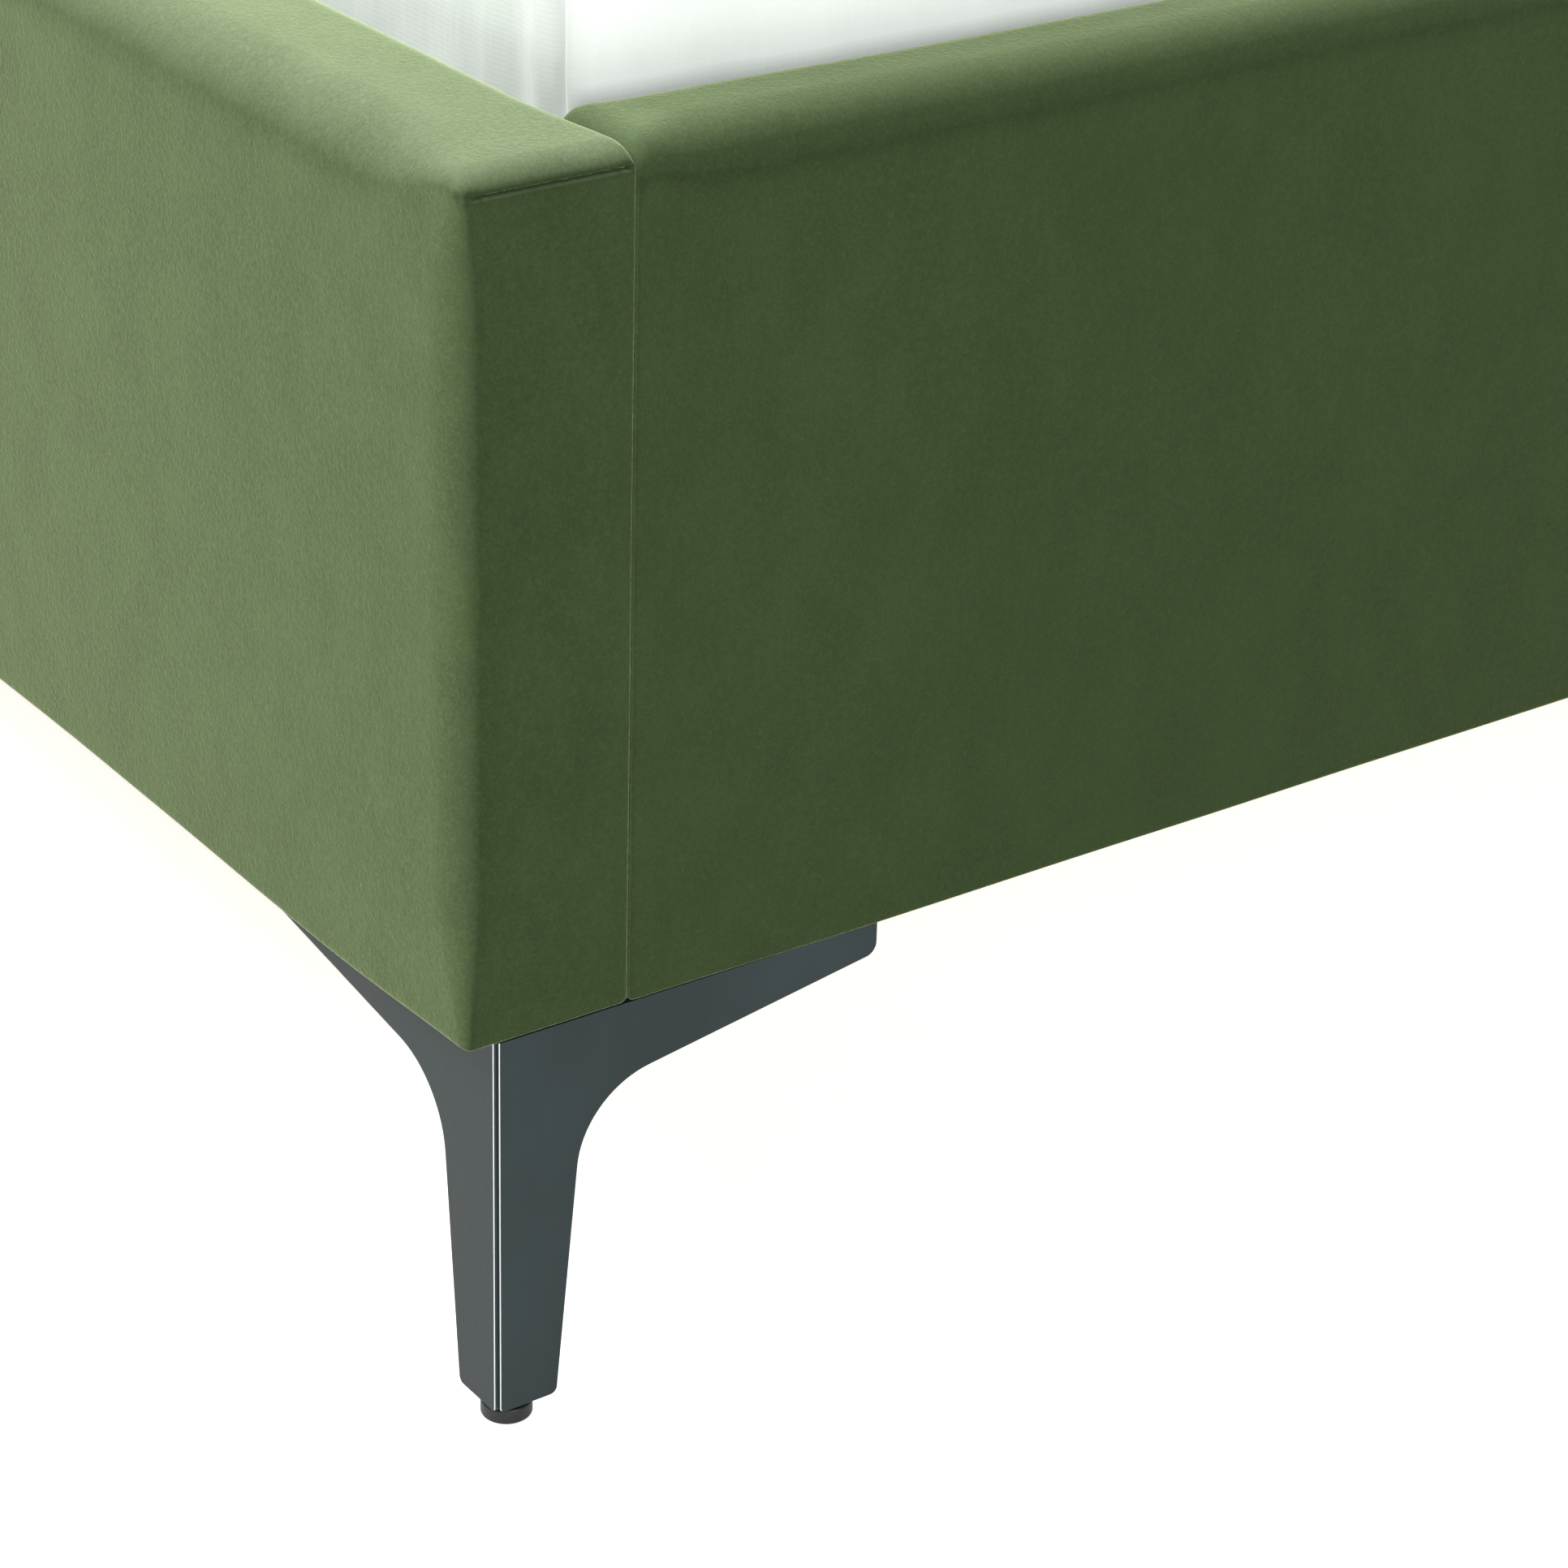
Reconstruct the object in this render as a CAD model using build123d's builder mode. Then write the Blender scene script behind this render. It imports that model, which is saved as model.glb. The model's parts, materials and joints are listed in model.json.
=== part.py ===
"""Upholstered headboard bed for a queen mattress, in millimetres.

+Z is up and the floor is z = 0. The head of the bed is at +Y and its foot at -Y, and the origin
is on the floor under the middle of the bed. Right is +X, seen from the foot.
"""

from build123d import *
import os
from itertools import product

os.makedirs("parts", exist_ok=True)

# ---------------------------------------------------------------- driving dimensions
# Mattress and sheet
mattress_width = 1524
mattress_length = 2032
mattress_height = 250
mattress_corner_radius = 30
mattress_edge_radius = 28
mattress_side_gap = 8
mattress_end_gap = 8
mattress_rest_gap = 0.3
sheet_thickness = 1.2
sheet_fit_gap = 0.2

# Padded panels
floor_clearance = 154
rail_height = 298
rail_thickness = 51
footboard_thickness = 63
headboard_thickness = 79
headboard_height = 1150
cover_thickness = 1.5
dust_cloth_thickness = 1
dust_cloth_margin = 8
hem_width = 14
back_hem_width = 25
top_padding = 20
end_padding = 10
front_roll = 24
back_roll = 11
rail_outer_roll = 22
rail_inner_roll = 14

# Timber and plywood inside the panels
timber_height = 45
timber_depth = 28
head_timber_depth = 30
plywood_thickness = 5
post_width = 95
stud_width = 45
rail_board_thickness = 28

# Corner joint: brackets, bolts and insert nuts
bracket_thickness = 4
bracket_reach = 60
bracket_height = 64
bracket_bolt_reach = 38
bracket_bolt_margin = 15
bolt_radius = 4
bolt_tip_gap = 2.5
bolt_head_radius = 7
bolt_head_height = 4.5
bolt_socket_width = 5
bolt_clearance = 0.5
thread_clearance = 0.05
insert_radius = 7
insert_margin = 4.5

# Slats and what carries them
ledger_thickness = 28
ledger_height = 40
ledger_rise = 156
ledger_bracket_gap = 6
slat_count = 12
slat_width = 90
slat_thickness = 20
slat_end_gap = 4
beam_width = 40
beam_height = 50
hanger_thickness = 3
hanger_reach = 35
hanger_width = 100
hanger_cheek_height = 40
hanger_fit_gap = 0.5
frame_screw_radius = 2.5
frame_screw_bite = 12
frame_screw_head_radius = 5
frame_screw_head_height = 3
ledger_screw_count = 6
slat_screw_radius = 2
slat_screw_bite = 10
slat_screw_head_radius = 4
slat_screw_head_height = 2.5

# L-shaped steel corner legs
leg_end_inset = 11
leg_side_inset = 1
leg_floor_gap = 8
leg_plate = 3
leg_foot_width = 24.5
leg_waist_width = 35
leg_waist_drop = 31
leg_wing_length = 155.8
leg_wing_tip_height = 12
leg_crook_radius = 34
leg_tip_radius = 5
leg_foot_radius = 3
leg_groove = 1.5
leg_groove_round = 0.7
leg_notch_radius = 2
leg_flange_width = 44
leg_flange_inset = 6
leg_screw_radius = 3
leg_screw_length = 30
leg_screw_head_radius = 6
leg_screw_head_height = 3
leg_screw_clearance = 0.3
end_screw_reaches = (60, 120)
rail_screw_reaches = (100, 135)

# Levelling glides under the corner legs
glide_inset = 10.5
glide_radius = 9
glide_height = 6
glide_edge_radius = 1
glide_stud_radius = 3
glide_stud_stand = 5
glide_collar_width = 10
glide_collar_height = 1.5
glide_ball_radius = 5
glide_ball_height = 1.9
glide_floor = 1.6
running_gap = 0.05
body_gap = 0.3
foot_plate_width = 20
foot_plate_height = 13
foot_nut_radius = 6
foot_nut_height = 10

# Centre legs with one-piece screw feet
centre_leg_spacing = 700
centre_tube_radius = 19
centre_tube_wall = 1.5
centre_tube_bottom = 24
centre_flange_width = 78
centre_flange_thickness = 3
centre_screw_spacing = 58
centre_screw_row = 24
centre_foot_radius = 20
centre_foot_height = 10
centre_stud_radius = 4
centre_stud_stand = 24
centre_nut_height = 12

# ---------------------------------------------------------------- derived places
inner_width = mattress_width + 2 * mattress_side_gap
inner_length = mattress_length + 2 * mattress_end_gap
width = inner_width + 2 * rail_thickness
length = footboard_thickness + inner_length + headboard_thickness
half_width = width / 2
well_side = inner_width / 2
foot_front = -length / 2
foot_rear = foot_front + footboard_thickness
head_front = foot_rear + inner_length
head_rear = length / 2
rail_bottom = floor_clearance
rail_top = rail_bottom + rail_height

core_bottom = rail_bottom + cover_thickness
core_top = rail_top - cover_thickness - top_padding
core_side = half_width - cover_thickness - end_padding
board_face = well_side + cover_thickness
post_middle = core_side - post_width / 2
stud_middle = post_middle / 2

foot_padding = footboard_thickness - 2 * cover_thickness - 2 * plywood_thickness - timber_depth
foot_panel_front = foot_front + cover_thickness + foot_padding
foot_timber_front = foot_panel_front + plywood_thickness
foot_timber_rear = foot_timber_front + timber_depth

head_cover_rear = head_rear - dust_cloth_thickness
head_core_rear = head_cover_rear - cover_thickness
head_timber_front = head_core_rear - head_timber_depth
head_panel_front = head_timber_front - plywood_thickness
head_core_top = headboard_height - cover_thickness - top_padding
bottom_timber_top = core_bottom + timber_height

ledger_top = rail_bottom + ledger_rise
ledger_end_gap = bracket_reach + ledger_bracket_gap
slat_gap = (inner_length - slat_count * slat_width) / (slat_count + 1)
slat_top = ledger_top + slat_thickness
slat_reach = well_side - slat_end_gap
slat_screw_x = (board_face - ledger_thickness + slat_reach) / 2
beam_bottom = ledger_top - beam_height
frame_screw_length = ledger_thickness + frame_screw_bite
slat_screw_length = slat_thickness + slat_screw_bite

leg_corner_x = half_width - leg_side_inset
leg_waist_height = rail_bottom - leg_waist_drop
leg_corner_y = head_rear - leg_end_inset
leg_tip = leg_wing_length - leg_flange_inset
end_timber_middle = leg_corner_y + (foot_timber_front + foot_timber_rear) / 2
rail_board_middle = leg_corner_x - board_face - rail_board_thickness / 2
glide_x = half_width - leg_side_inset - glide_inset
glide_y = leg_corner_y - glide_inset
collar_bottom = glide_height + body_gap
glide_stud_top = foot_plate_height + leg_plate + foot_nut_height + glide_stud_stand
centre_stud_top = centre_tube_bottom + centre_nut_height + centre_stud_stand

insert_length = rail_board_thickness - cover_thickness - insert_margin
bolt_length = bracket_thickness + cover_thickness + insert_length - bolt_tip_gap
bracket_bottom = bottom_timber_top
bracket_top = bracket_bottom + bracket_height
bolt_heights = (bracket_bottom + bracket_bolt_margin, bracket_top - bracket_bolt_margin)

ends = {"foot": -1, "head": 1}
sides = {"left": -1, "right": 1}


# ---------------------------------------------------------------- shared helpers
def save(builder, label):
    """Label a finished piece and write it to its own file."""
    builder.part.label = label
    export_step(builder.part, f"parts/{label}.step")


def block(x_span, y_span, z_span, mode=Mode.ADD):
    """A box between two values on each axis."""
    spans = (x_span, y_span, z_span)
    middle = tuple((low + high) / 2 for low, high in spans)
    with Locations(middle):
        Box(*[abs(high - low) for low, high in spans], mode=mode)


def rolled_section(plane, near, far, low, high, near_roll, far_roll):
    """The section of a padded panel, rolled over at its top edges and square at the bottom."""
    with BuildSketch(plane) as section:
        with Locations(((near + far) / 2, (low + high) / 2)):
            Rectangle(far - near, high - low)
        top = section.vertices().group_by(Axis.Y)[-1].sort_by(Axis.X)
        fillet(top[-1], far_roll)
        top = section.vertices().group_by(Axis.Y)[-1].sort_by(Axis.X)
        fillet(top[0], near_roll)
    return section.sketch


def footboard_shell(inset):
    """The footboard's outside, drawn in by an inset on every side."""
    half = half_width - inset
    near = foot_front + inset
    far = foot_rear - inset
    rolls = (front_roll - inset, back_roll - inset)
    face = rolled_section(Plane.YZ.offset(-half), near, far, rail_bottom + inset, rail_top - inset, *rolls)
    extrude(face, amount=2 * half, mode=Mode.ADD if inset == 0 else Mode.SUBTRACT)


def headboard_section(inset, half):
    """The headboard's section, drawn in by an inset and placed at its left end."""
    near = head_front + inset
    far = head_cover_rear - inset
    low = rail_bottom + inset
    high = headboard_height - inset
    return rolled_section(Plane.YZ.offset(-half), near, far, low, high, front_roll - inset, back_roll - inset)


def rail_section(inset):
    """The right side rail's section, drawn in by an inset and placed at its foot end."""
    near = well_side + inset
    far = half_width - inset
    low = rail_bottom + inset
    high = rail_top - inset
    plane = Plane.XZ.offset(-foot_rear)
    return rolled_section(plane, near, far, low, high, rail_inner_roll - inset, rail_outer_roll - inset)


def mirrored(source):
    """The left twin of a piece on the right side."""
    with BuildPart() as twin:
        add(mirror(source.part, about=Plane.YZ, mode=Mode.PRIVATE))
    return twin


def corner_bolt_places():
    """Where each corner bolt enters: on the face its bracket lies against, pointing into it."""
    places = []
    for side, end in product(sides.values(), ends.values()):
        joint_y = foot_rear if end < 0 else head_front
        for height in bolt_heights:
            end_point = (side * (board_face - bracket_bolt_reach), joint_y, height)
            rail_point = (side * board_face, joint_y - end * bracket_bolt_reach, height)
            places.append(Plane(end_point, z_dir=(0, end, 0)).location)
            places.append(Plane(rail_point, z_dir=(side, 0, 0)).location)
    return places


def upward(points, z):
    """Places at one height that point up."""
    return [Location((x, y, z)) for x, y in points]


def ledger_screw_places():
    """Where each ledger screw's head bears, pointing into the side rail."""
    run = inner_length - 2 * ledger_end_gap
    pitch = run / ledger_screw_count
    face = board_face - ledger_thickness
    height = ledger_top - ledger_height / 2
    places = []
    for side, number in product(sides.values(), range(ledger_screw_count)):
        y = foot_rear + ledger_end_gap + pitch * (number + 0.5)
        places.append(Plane((side * face, y, height), z_dir=(side, 0, 0)).location)
    return places


def hanger_screw_places():
    """Where each hanger screw's head bears, pointing into the end board."""
    x = (hanger_width + beam_width) / 4 + hanger_thickness
    height = beam_bottom + hanger_cheek_height / 2
    foot_face = foot_rear + hanger_thickness
    head_face = head_front - hanger_thickness
    places = []
    for side in sides.values():
        places.append(Plane((side * x, foot_face, height), z_dir=(0, -1, 0)).location)
        places.append(Plane((side * x, head_face, height), z_dir=(0, 1, 0)).location)
    return places


leg_screw_points = [
    (side * (leg_corner_x - reach), end * (leg_corner_y - end_timber_middle))
    for side, end, reach in product(sides.values(), ends.values(), end_screw_reaches)
] + [
    (side * (leg_corner_x - rail_board_middle), end * (leg_corner_y - reach))
    for side, end, reach in product(sides.values(), ends.values(), rail_screw_reaches)
]
slat_middles = [
    foot_rear + slat_gap + slat_width / 2 + number * (slat_width + slat_gap) for number in range(slat_count)
]
slat_screw_points = [(side * slat_screw_x, y) for side, y in product(sides.values(), slat_middles)]
centre_leg_middles = (-centre_leg_spacing / 2, centre_leg_spacing / 2)
centre_screw_points = [
    (side * centre_screw_row / 2, middle + end * centre_screw_spacing / 2)
    for middle, side, end in product(centre_leg_middles, sides.values(), ends.values())
]


def screw_pilots(places, radius, screw_length):
    """Cut the holes that screws bite into, the same size as their shanks."""
    with Locations(*places):
        Cylinder(radius, screw_length, align=(Align.CENTER, Align.CENTER, Align.MIN), mode=Mode.SUBTRACT)


def insert_holes():
    """Cut the holes that the corner bolts' insert nuts sit in."""
    screw_pilots(corner_bolt_places(), insert_radius, cover_thickness + insert_length)


def leg_pilots():
    """Cut the holes that the leg screws bite into."""
    screw_pilots(upward(leg_screw_points, rail_bottom), leg_screw_radius, leg_screw_length - leg_plate)


# ---------------------------------------------------------------- footboard
with BuildPart() as footboard_bottom_timber:
    block((-core_side, core_side), (foot_timber_front, foot_timber_rear), (core_bottom, bottom_timber_top))
    leg_pilots()
save(footboard_bottom_timber, "footboard_bottom_timber")

with BuildPart() as footboard_top_timber:
    block(
        (-core_side, core_side),
        (foot_timber_front, foot_timber_rear),
        (core_top - timber_height, core_top),
    )
save(footboard_top_timber, "footboard_top_timber")

with BuildPart() as footboard_uprights:
    upright_layout = {0: post_width}
    upright_layout |= {side * post_middle: post_width for side in sides.values()}
    upright_layout |= {side * stud_middle: stud_width for side in sides.values()}
    for middle, wide in upright_layout.items():
        block(
            (middle - wide / 2, middle + wide / 2),
            (foot_timber_front, foot_timber_rear),
            (bottom_timber_top, core_top - timber_height),
        )
    insert_holes()
    screw_pilots(hanger_screw_places(), frame_screw_radius, frame_screw_length)
save(footboard_uprights, "footboard_uprights")

with BuildPart() as footboard_front_panel:
    block((-core_side, core_side), (foot_panel_front, foot_timber_front), (core_bottom, core_top))
    screw_pilots(hanger_screw_places(), frame_screw_radius, frame_screw_length)
save(footboard_front_panel, "footboard_front_panel")

with BuildPart() as footboard_back_panel:
    rear_face = foot_rear - cover_thickness
    block((-core_side, core_side), (foot_timber_rear, rear_face), (core_bottom, core_top))
    insert_holes()
    screw_pilots(hanger_screw_places(), frame_screw_radius, frame_screw_length)
save(footboard_back_panel, "footboard_back_panel")

with BuildPart() as footboard_foam:
    foam_half = half_width - cover_thickness
    foam_face = rolled_section(
        Plane.YZ.offset(-foam_half),
        foot_front + cover_thickness,
        foot_rear - cover_thickness,
        core_bottom,
        rail_top - cover_thickness,
        front_roll - cover_thickness,
        back_roll - cover_thickness,
    )
    extrude(foam_face, amount=2 * foam_half)
    block((-core_side, core_side), (foot_panel_front, foot_rear), (rail_bottom, core_top), Mode.SUBTRACT)
save(footboard_foam, "footboard_foam")

with BuildPart() as footboard_cover:
    footboard_shell(0)
    footboard_shell(cover_thickness)
    block(
        (-half_width + hem_width, half_width - hem_width),
        (foot_front + hem_width, foot_rear - hem_width),
        (rail_bottom, core_bottom),
        Mode.SUBTRACT,
    )
    with Locations(*corner_bolt_places()):
        Cylinder(bolt_radius + bolt_clearance, 4 * cover_thickness, mode=Mode.SUBTRACT)
    screw_pilots(hanger_screw_places(), frame_screw_radius, frame_screw_length)
save(footboard_cover, "footboard_cover")

# ---------------------------------------------------------------- headboard
with BuildPart() as headboard_bottom_timber:
    cover_inside = half_width - cover_thickness
    block(
        (-cover_inside, cover_inside),
        (head_front + cover_thickness, head_core_rear),
        (core_bottom, bottom_timber_top),
    )
    leg_pilots()
save(headboard_bottom_timber, "headboard_bottom_timber")

with BuildPart() as headboard_top_timber:
    block(
        (-core_side, core_side),
        (head_timber_front, head_core_rear),
        (head_core_top - timber_height, head_core_top),
    )
save(headboard_top_timber, "headboard_top_timber")

# The outer posts and the middle one have a block glued to their front, level with the side rails,
# so that the rails and the centre beam bear on timber and not on foam.
post_middles = (-post_middle, 0, post_middle)
with BuildPart() as headboard_uprights:
    for middle, wide in upright_layout.items():
        block(
            (middle - wide / 2, middle + wide / 2),
            (head_timber_front, head_core_rear),
            (bottom_timber_top, head_core_top - timber_height),
        )
    for middle in post_middles:
        block(
            (middle - post_width / 2, middle + post_width / 2),
            (head_front + cover_thickness, head_timber_front),
            (bottom_timber_top, rail_top),
        )
    insert_holes()
    screw_pilots(hanger_screw_places(), frame_screw_radius, frame_screw_length)
save(headboard_uprights, "headboard_uprights")

with BuildPart() as headboard_front_panel:
    block((-core_side, core_side), (head_panel_front, head_timber_front), (bottom_timber_top, head_core_top))
    for middle in post_middles:
        block(
            (middle - post_width / 2, middle + post_width / 2),
            (head_panel_front, head_timber_front),
            (bottom_timber_top, rail_top),
            Mode.SUBTRACT,
        )
save(headboard_front_panel, "headboard_front_panel")

with BuildPart() as headboard_foam:
    extrude(headboard_section(cover_thickness, cover_inside), amount=2 * cover_inside)
    block((-half_width, half_width), (head_front, head_rear), (0, bottom_timber_top), Mode.SUBTRACT)
    block((-core_side, core_side), (head_panel_front, head_rear), (rail_bottom, head_core_top), Mode.SUBTRACT)
    for middle in post_middles:
        block(
            (middle - post_width / 2, middle + post_width / 2),
            (head_front, head_timber_front),
            (rail_bottom, rail_top),
            Mode.SUBTRACT,
        )
save(headboard_foam, "headboard_foam")

with BuildPart() as headboard_cover:
    extrude(headboard_section(0, half_width), amount=2 * half_width)
    extrude(headboard_section(cover_thickness, cover_inside), amount=2 * cover_inside, mode=Mode.SUBTRACT)
    block(
        (-half_width + hem_width, half_width - hem_width),
        (head_front + hem_width, head_cover_rear - hem_width),
        (rail_bottom, core_bottom),
        Mode.SUBTRACT,
    )
    block(
        (-half_width + back_hem_width, half_width - back_hem_width),
        (head_core_rear, head_cover_rear),
        (rail_bottom + back_hem_width, headboard_height - back_hem_width),
        Mode.SUBTRACT,
    )
    with Locations(*corner_bolt_places()):
        Cylinder(bolt_radius + bolt_clearance, 4 * cover_thickness, mode=Mode.SUBTRACT)
    screw_pilots(hanger_screw_places(), frame_screw_radius, frame_screw_length)
save(headboard_cover, "headboard_cover")

with BuildPart() as headboard_dust_cloth:
    cloth_side = half_width - dust_cloth_margin
    block(
        (-cloth_side, cloth_side),
        (head_cover_rear, head_rear),
        (rail_bottom + dust_cloth_margin, headboard_height - back_roll - dust_cloth_margin),
    )
save(headboard_dust_cloth, "headboard_dust_cloth")

# ---------------------------------------------------------------- side rails
with BuildPart() as side_rail_right_board:
    block(
        (board_face, board_face + rail_board_thickness),
        (foot_rear, head_front),
        (core_bottom, core_top),
    )
    insert_holes()
    leg_pilots()
    screw_pilots(ledger_screw_places(), frame_screw_radius, frame_screw_length)
save(side_rail_right_board, "side_rail_right_board")
side_rail_left_board = mirrored(side_rail_right_board)
save(side_rail_left_board, "side_rail_left_board")

with BuildPart() as side_rail_right_foam:
    extrude(rail_section(cover_thickness), amount=-inner_length)
    block(
        (well_side, board_face + rail_board_thickness),
        (foot_rear, head_front),
        (rail_bottom, core_top),
        Mode.SUBTRACT,
    )
save(side_rail_right_foam, "side_rail_right_foam")
side_rail_left_foam = mirrored(side_rail_right_foam)
save(side_rail_left_foam, "side_rail_left_foam")

with BuildPart() as side_rail_right_cover:
    extrude(rail_section(0), amount=-inner_length)
    extrude(rail_section(cover_thickness), amount=-inner_length, mode=Mode.SUBTRACT)
    block(
        (well_side, half_width - hem_width),
        (foot_rear, head_front),
        (rail_bottom, core_bottom),
        Mode.SUBTRACT,
    )
    block((well_side, board_face), (foot_rear, head_front), (rail_bottom, ledger_top), Mode.SUBTRACT)
save(side_rail_right_cover, "side_rail_right_cover")
side_rail_left_cover = mirrored(side_rail_right_cover)
save(side_rail_left_cover, "side_rail_left_cover")

# ---------------------------------------------------------------- corner joints
with BuildPart() as corner_brackets:
    for side, end in product(sides.values(), ends.values()):
        joint_y = foot_rear if end < 0 else head_front
        x_face = side * board_face
        heights = (bracket_bottom, bracket_top)
        block((x_face - side * bracket_reach, x_face), (joint_y, joint_y - end * bracket_thickness), heights)
        block((x_face - side * bracket_thickness, x_face), (joint_y, joint_y - end * bracket_reach), heights)
    with Locations(*corner_bolt_places()):
        Cylinder(bolt_radius + bolt_clearance, 4 * bracket_thickness, mode=Mode.SUBTRACT)
save(corner_brackets, "corner_brackets")

with BuildPart() as bolt_pattern_piece:
    with Locations((0, 0, -bracket_thickness)):
        Cylinder(bolt_radius, bolt_length, align=(Align.CENTER, Align.CENTER, Align.MIN))
        Cylinder(bolt_head_radius, bolt_head_height, align=(Align.CENTER, Align.CENTER, Align.MAX))
    head_top = bolt_pattern_piece.faces().sort_by(Axis.Z)[0]
    fillet(head_top.edges(), bolt_head_height / 3)
    with BuildSketch(Plane.XY.offset(-bracket_thickness - bolt_head_height)):
        RegularPolygon(bolt_socket_width / 2, 6, major_radius=False)
    extrude(amount=bolt_head_height / 2, mode=Mode.SUBTRACT)

with BuildPart() as corner_bolts:
    with Locations(*corner_bolt_places()):
        add(bolt_pattern_piece.part)
save(corner_bolts, "corner_bolts")

with BuildPart() as insert_pattern_piece:
    with Locations((0, 0, cover_thickness)):
        Cylinder(insert_radius, insert_length, align=(Align.CENTER, Align.CENTER, Align.MIN))
        Cylinder(
            bolt_radius + thread_clearance,
            insert_length,
            align=(Align.CENTER, Align.CENTER, Align.MIN),
            mode=Mode.SUBTRACT,
        )

with BuildPart() as corner_insert_nuts:
    with Locations(*corner_bolt_places()):
        add(insert_pattern_piece.part)
save(corner_insert_nuts, "corner_insert_nuts")

# ---------------------------------------------------------------- slats, ledgers and centre beam
with BuildPart() as slat_ledger_right:
    block(
        (board_face - ledger_thickness, board_face),
        (foot_rear + ledger_end_gap, head_front - ledger_end_gap),
        (ledger_top - ledger_height, ledger_top),
    )
    screw_pilots(ledger_screw_places(), frame_screw_radius, frame_screw_length)
    slat_screw_tips = upward(slat_screw_points, slat_top - slat_screw_length)
    screw_pilots(slat_screw_tips, slat_screw_radius, slat_screw_length)
save(slat_ledger_right, "slat_ledger_right")
slat_ledger_left = mirrored(slat_ledger_right)
save(slat_ledger_left, "slat_ledger_left")

for number, middle in enumerate(slat_middles, start=1):
    with BuildPart() as slat:
        edges_y = (middle - slat_width / 2, middle + slat_width / 2)
        block((-slat_reach, slat_reach), edges_y, (ledger_top, slat_top))
        fillet(slat.edges().filter_by(Axis.X).group_by(Axis.Z)[-1], slat_thickness / 8)
        with Locations((-slat_screw_x, middle, slat_top), (slat_screw_x, middle, slat_top)):
            CounterBoreHole(slat_screw_radius, slat_screw_head_radius, slat_screw_head_height)
    save(slat, f"slat_{number:02d}")

with BuildPart() as slat_screws:
    with Locations(*upward(slat_screw_points, slat_top)):
        Cylinder(
            slat_screw_radius,
            slat_screw_length - slat_screw_head_height,
            align=(Align.CENTER, Align.CENTER, Align.MAX),
        )
    with Locations(*upward(slat_screw_points, slat_top)):
        Cylinder(
            slat_screw_head_radius,
            slat_screw_head_height,
            align=(Align.CENTER, Align.CENTER, Align.MAX),
        )
save(slat_screws, "slat_screws")

with BuildPart() as centre_beam:
    beam_end_gap = hanger_thickness + hanger_fit_gap
    block(
        (-beam_width / 2, beam_width / 2),
        (foot_rear + beam_end_gap, head_front - beam_end_gap),
        (beam_bottom, ledger_top),
    )
    screw_pilots(
        upward(centre_screw_points, beam_bottom - centre_flange_thickness),
        frame_screw_radius,
        frame_screw_length,
    )
save(centre_beam, "centre_beam")

# Each hanger is a back plate with a seat and two cheeks that the beam's end drops into.
with BuildPart() as beam_hangers:
    cheek_inside = beam_width / 2 + hanger_fit_gap
    cheek_outside = cheek_inside + hanger_thickness
    seat_bottom = beam_bottom - hanger_thickness
    for end in ends.values():
        joint_y = foot_rear if end < 0 else head_front
        plate = (joint_y, joint_y - end * hanger_thickness)
        reach = (joint_y, joint_y - end * hanger_reach)
        heights = (seat_bottom, beam_bottom + hanger_cheek_height)
        block((-hanger_width / 2, hanger_width / 2), plate, heights)
        block((-cheek_outside, cheek_outside), reach, (seat_bottom, beam_bottom))
        for side in sides.values():
            block((side * cheek_inside, side * cheek_outside), reach, heights)
    with Locations(*hanger_screw_places()):
        Cylinder(frame_screw_radius, 4 * hanger_thickness, mode=Mode.SUBTRACT)
save(beam_hangers, "beam_hangers")

with BuildPart() as frame_screws:
    frame_screw_places = ledger_screw_places() + hanger_screw_places()
    frame_screw_places += upward(centre_screw_points, beam_bottom - centre_flange_thickness)
    with Locations(*frame_screw_places):
        Cylinder(frame_screw_radius, frame_screw_length, align=(Align.CENTER, Align.CENTER, Align.MIN))
        Cylinder(
            frame_screw_head_radius,
            frame_screw_head_height,
            align=(Align.CENTER, Align.CENTER, Align.MAX),
        )
save(frame_screws, "frame_screws")


# ---------------------------------------------------------------- corner legs
def leg_wing(plane, amount):
    """One plate of a corner leg, drawn outward from the leg's corner."""
    tip_corner = (leg_wing_length, rail_bottom - leg_wing_tip_height)
    rounds = {
        (leg_waist_width, leg_waist_height): leg_crook_radius,
        tip_corner: leg_tip_radius,
        (leg_foot_width, leg_floor_gap): leg_foot_radius,
        (leg_groove, leg_floor_gap): leg_notch_radius,
    }
    with BuildSketch(plane) as wing:
        with BuildLine():
            Polyline(
                (leg_groove, leg_floor_gap),
                (leg_foot_width, leg_floor_gap),
                (leg_waist_width, leg_waist_height),
                tip_corner,
                (leg_wing_length, rail_bottom),
                (leg_groove, rail_bottom),
                close=True,
            )
        make_face()
        for corner_point, radius in rounds.items():
            fillet(wing.vertices().sort_by_distance(corner_point)[0], radius)
    extrude(wing.sketch, amount=amount)


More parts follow.
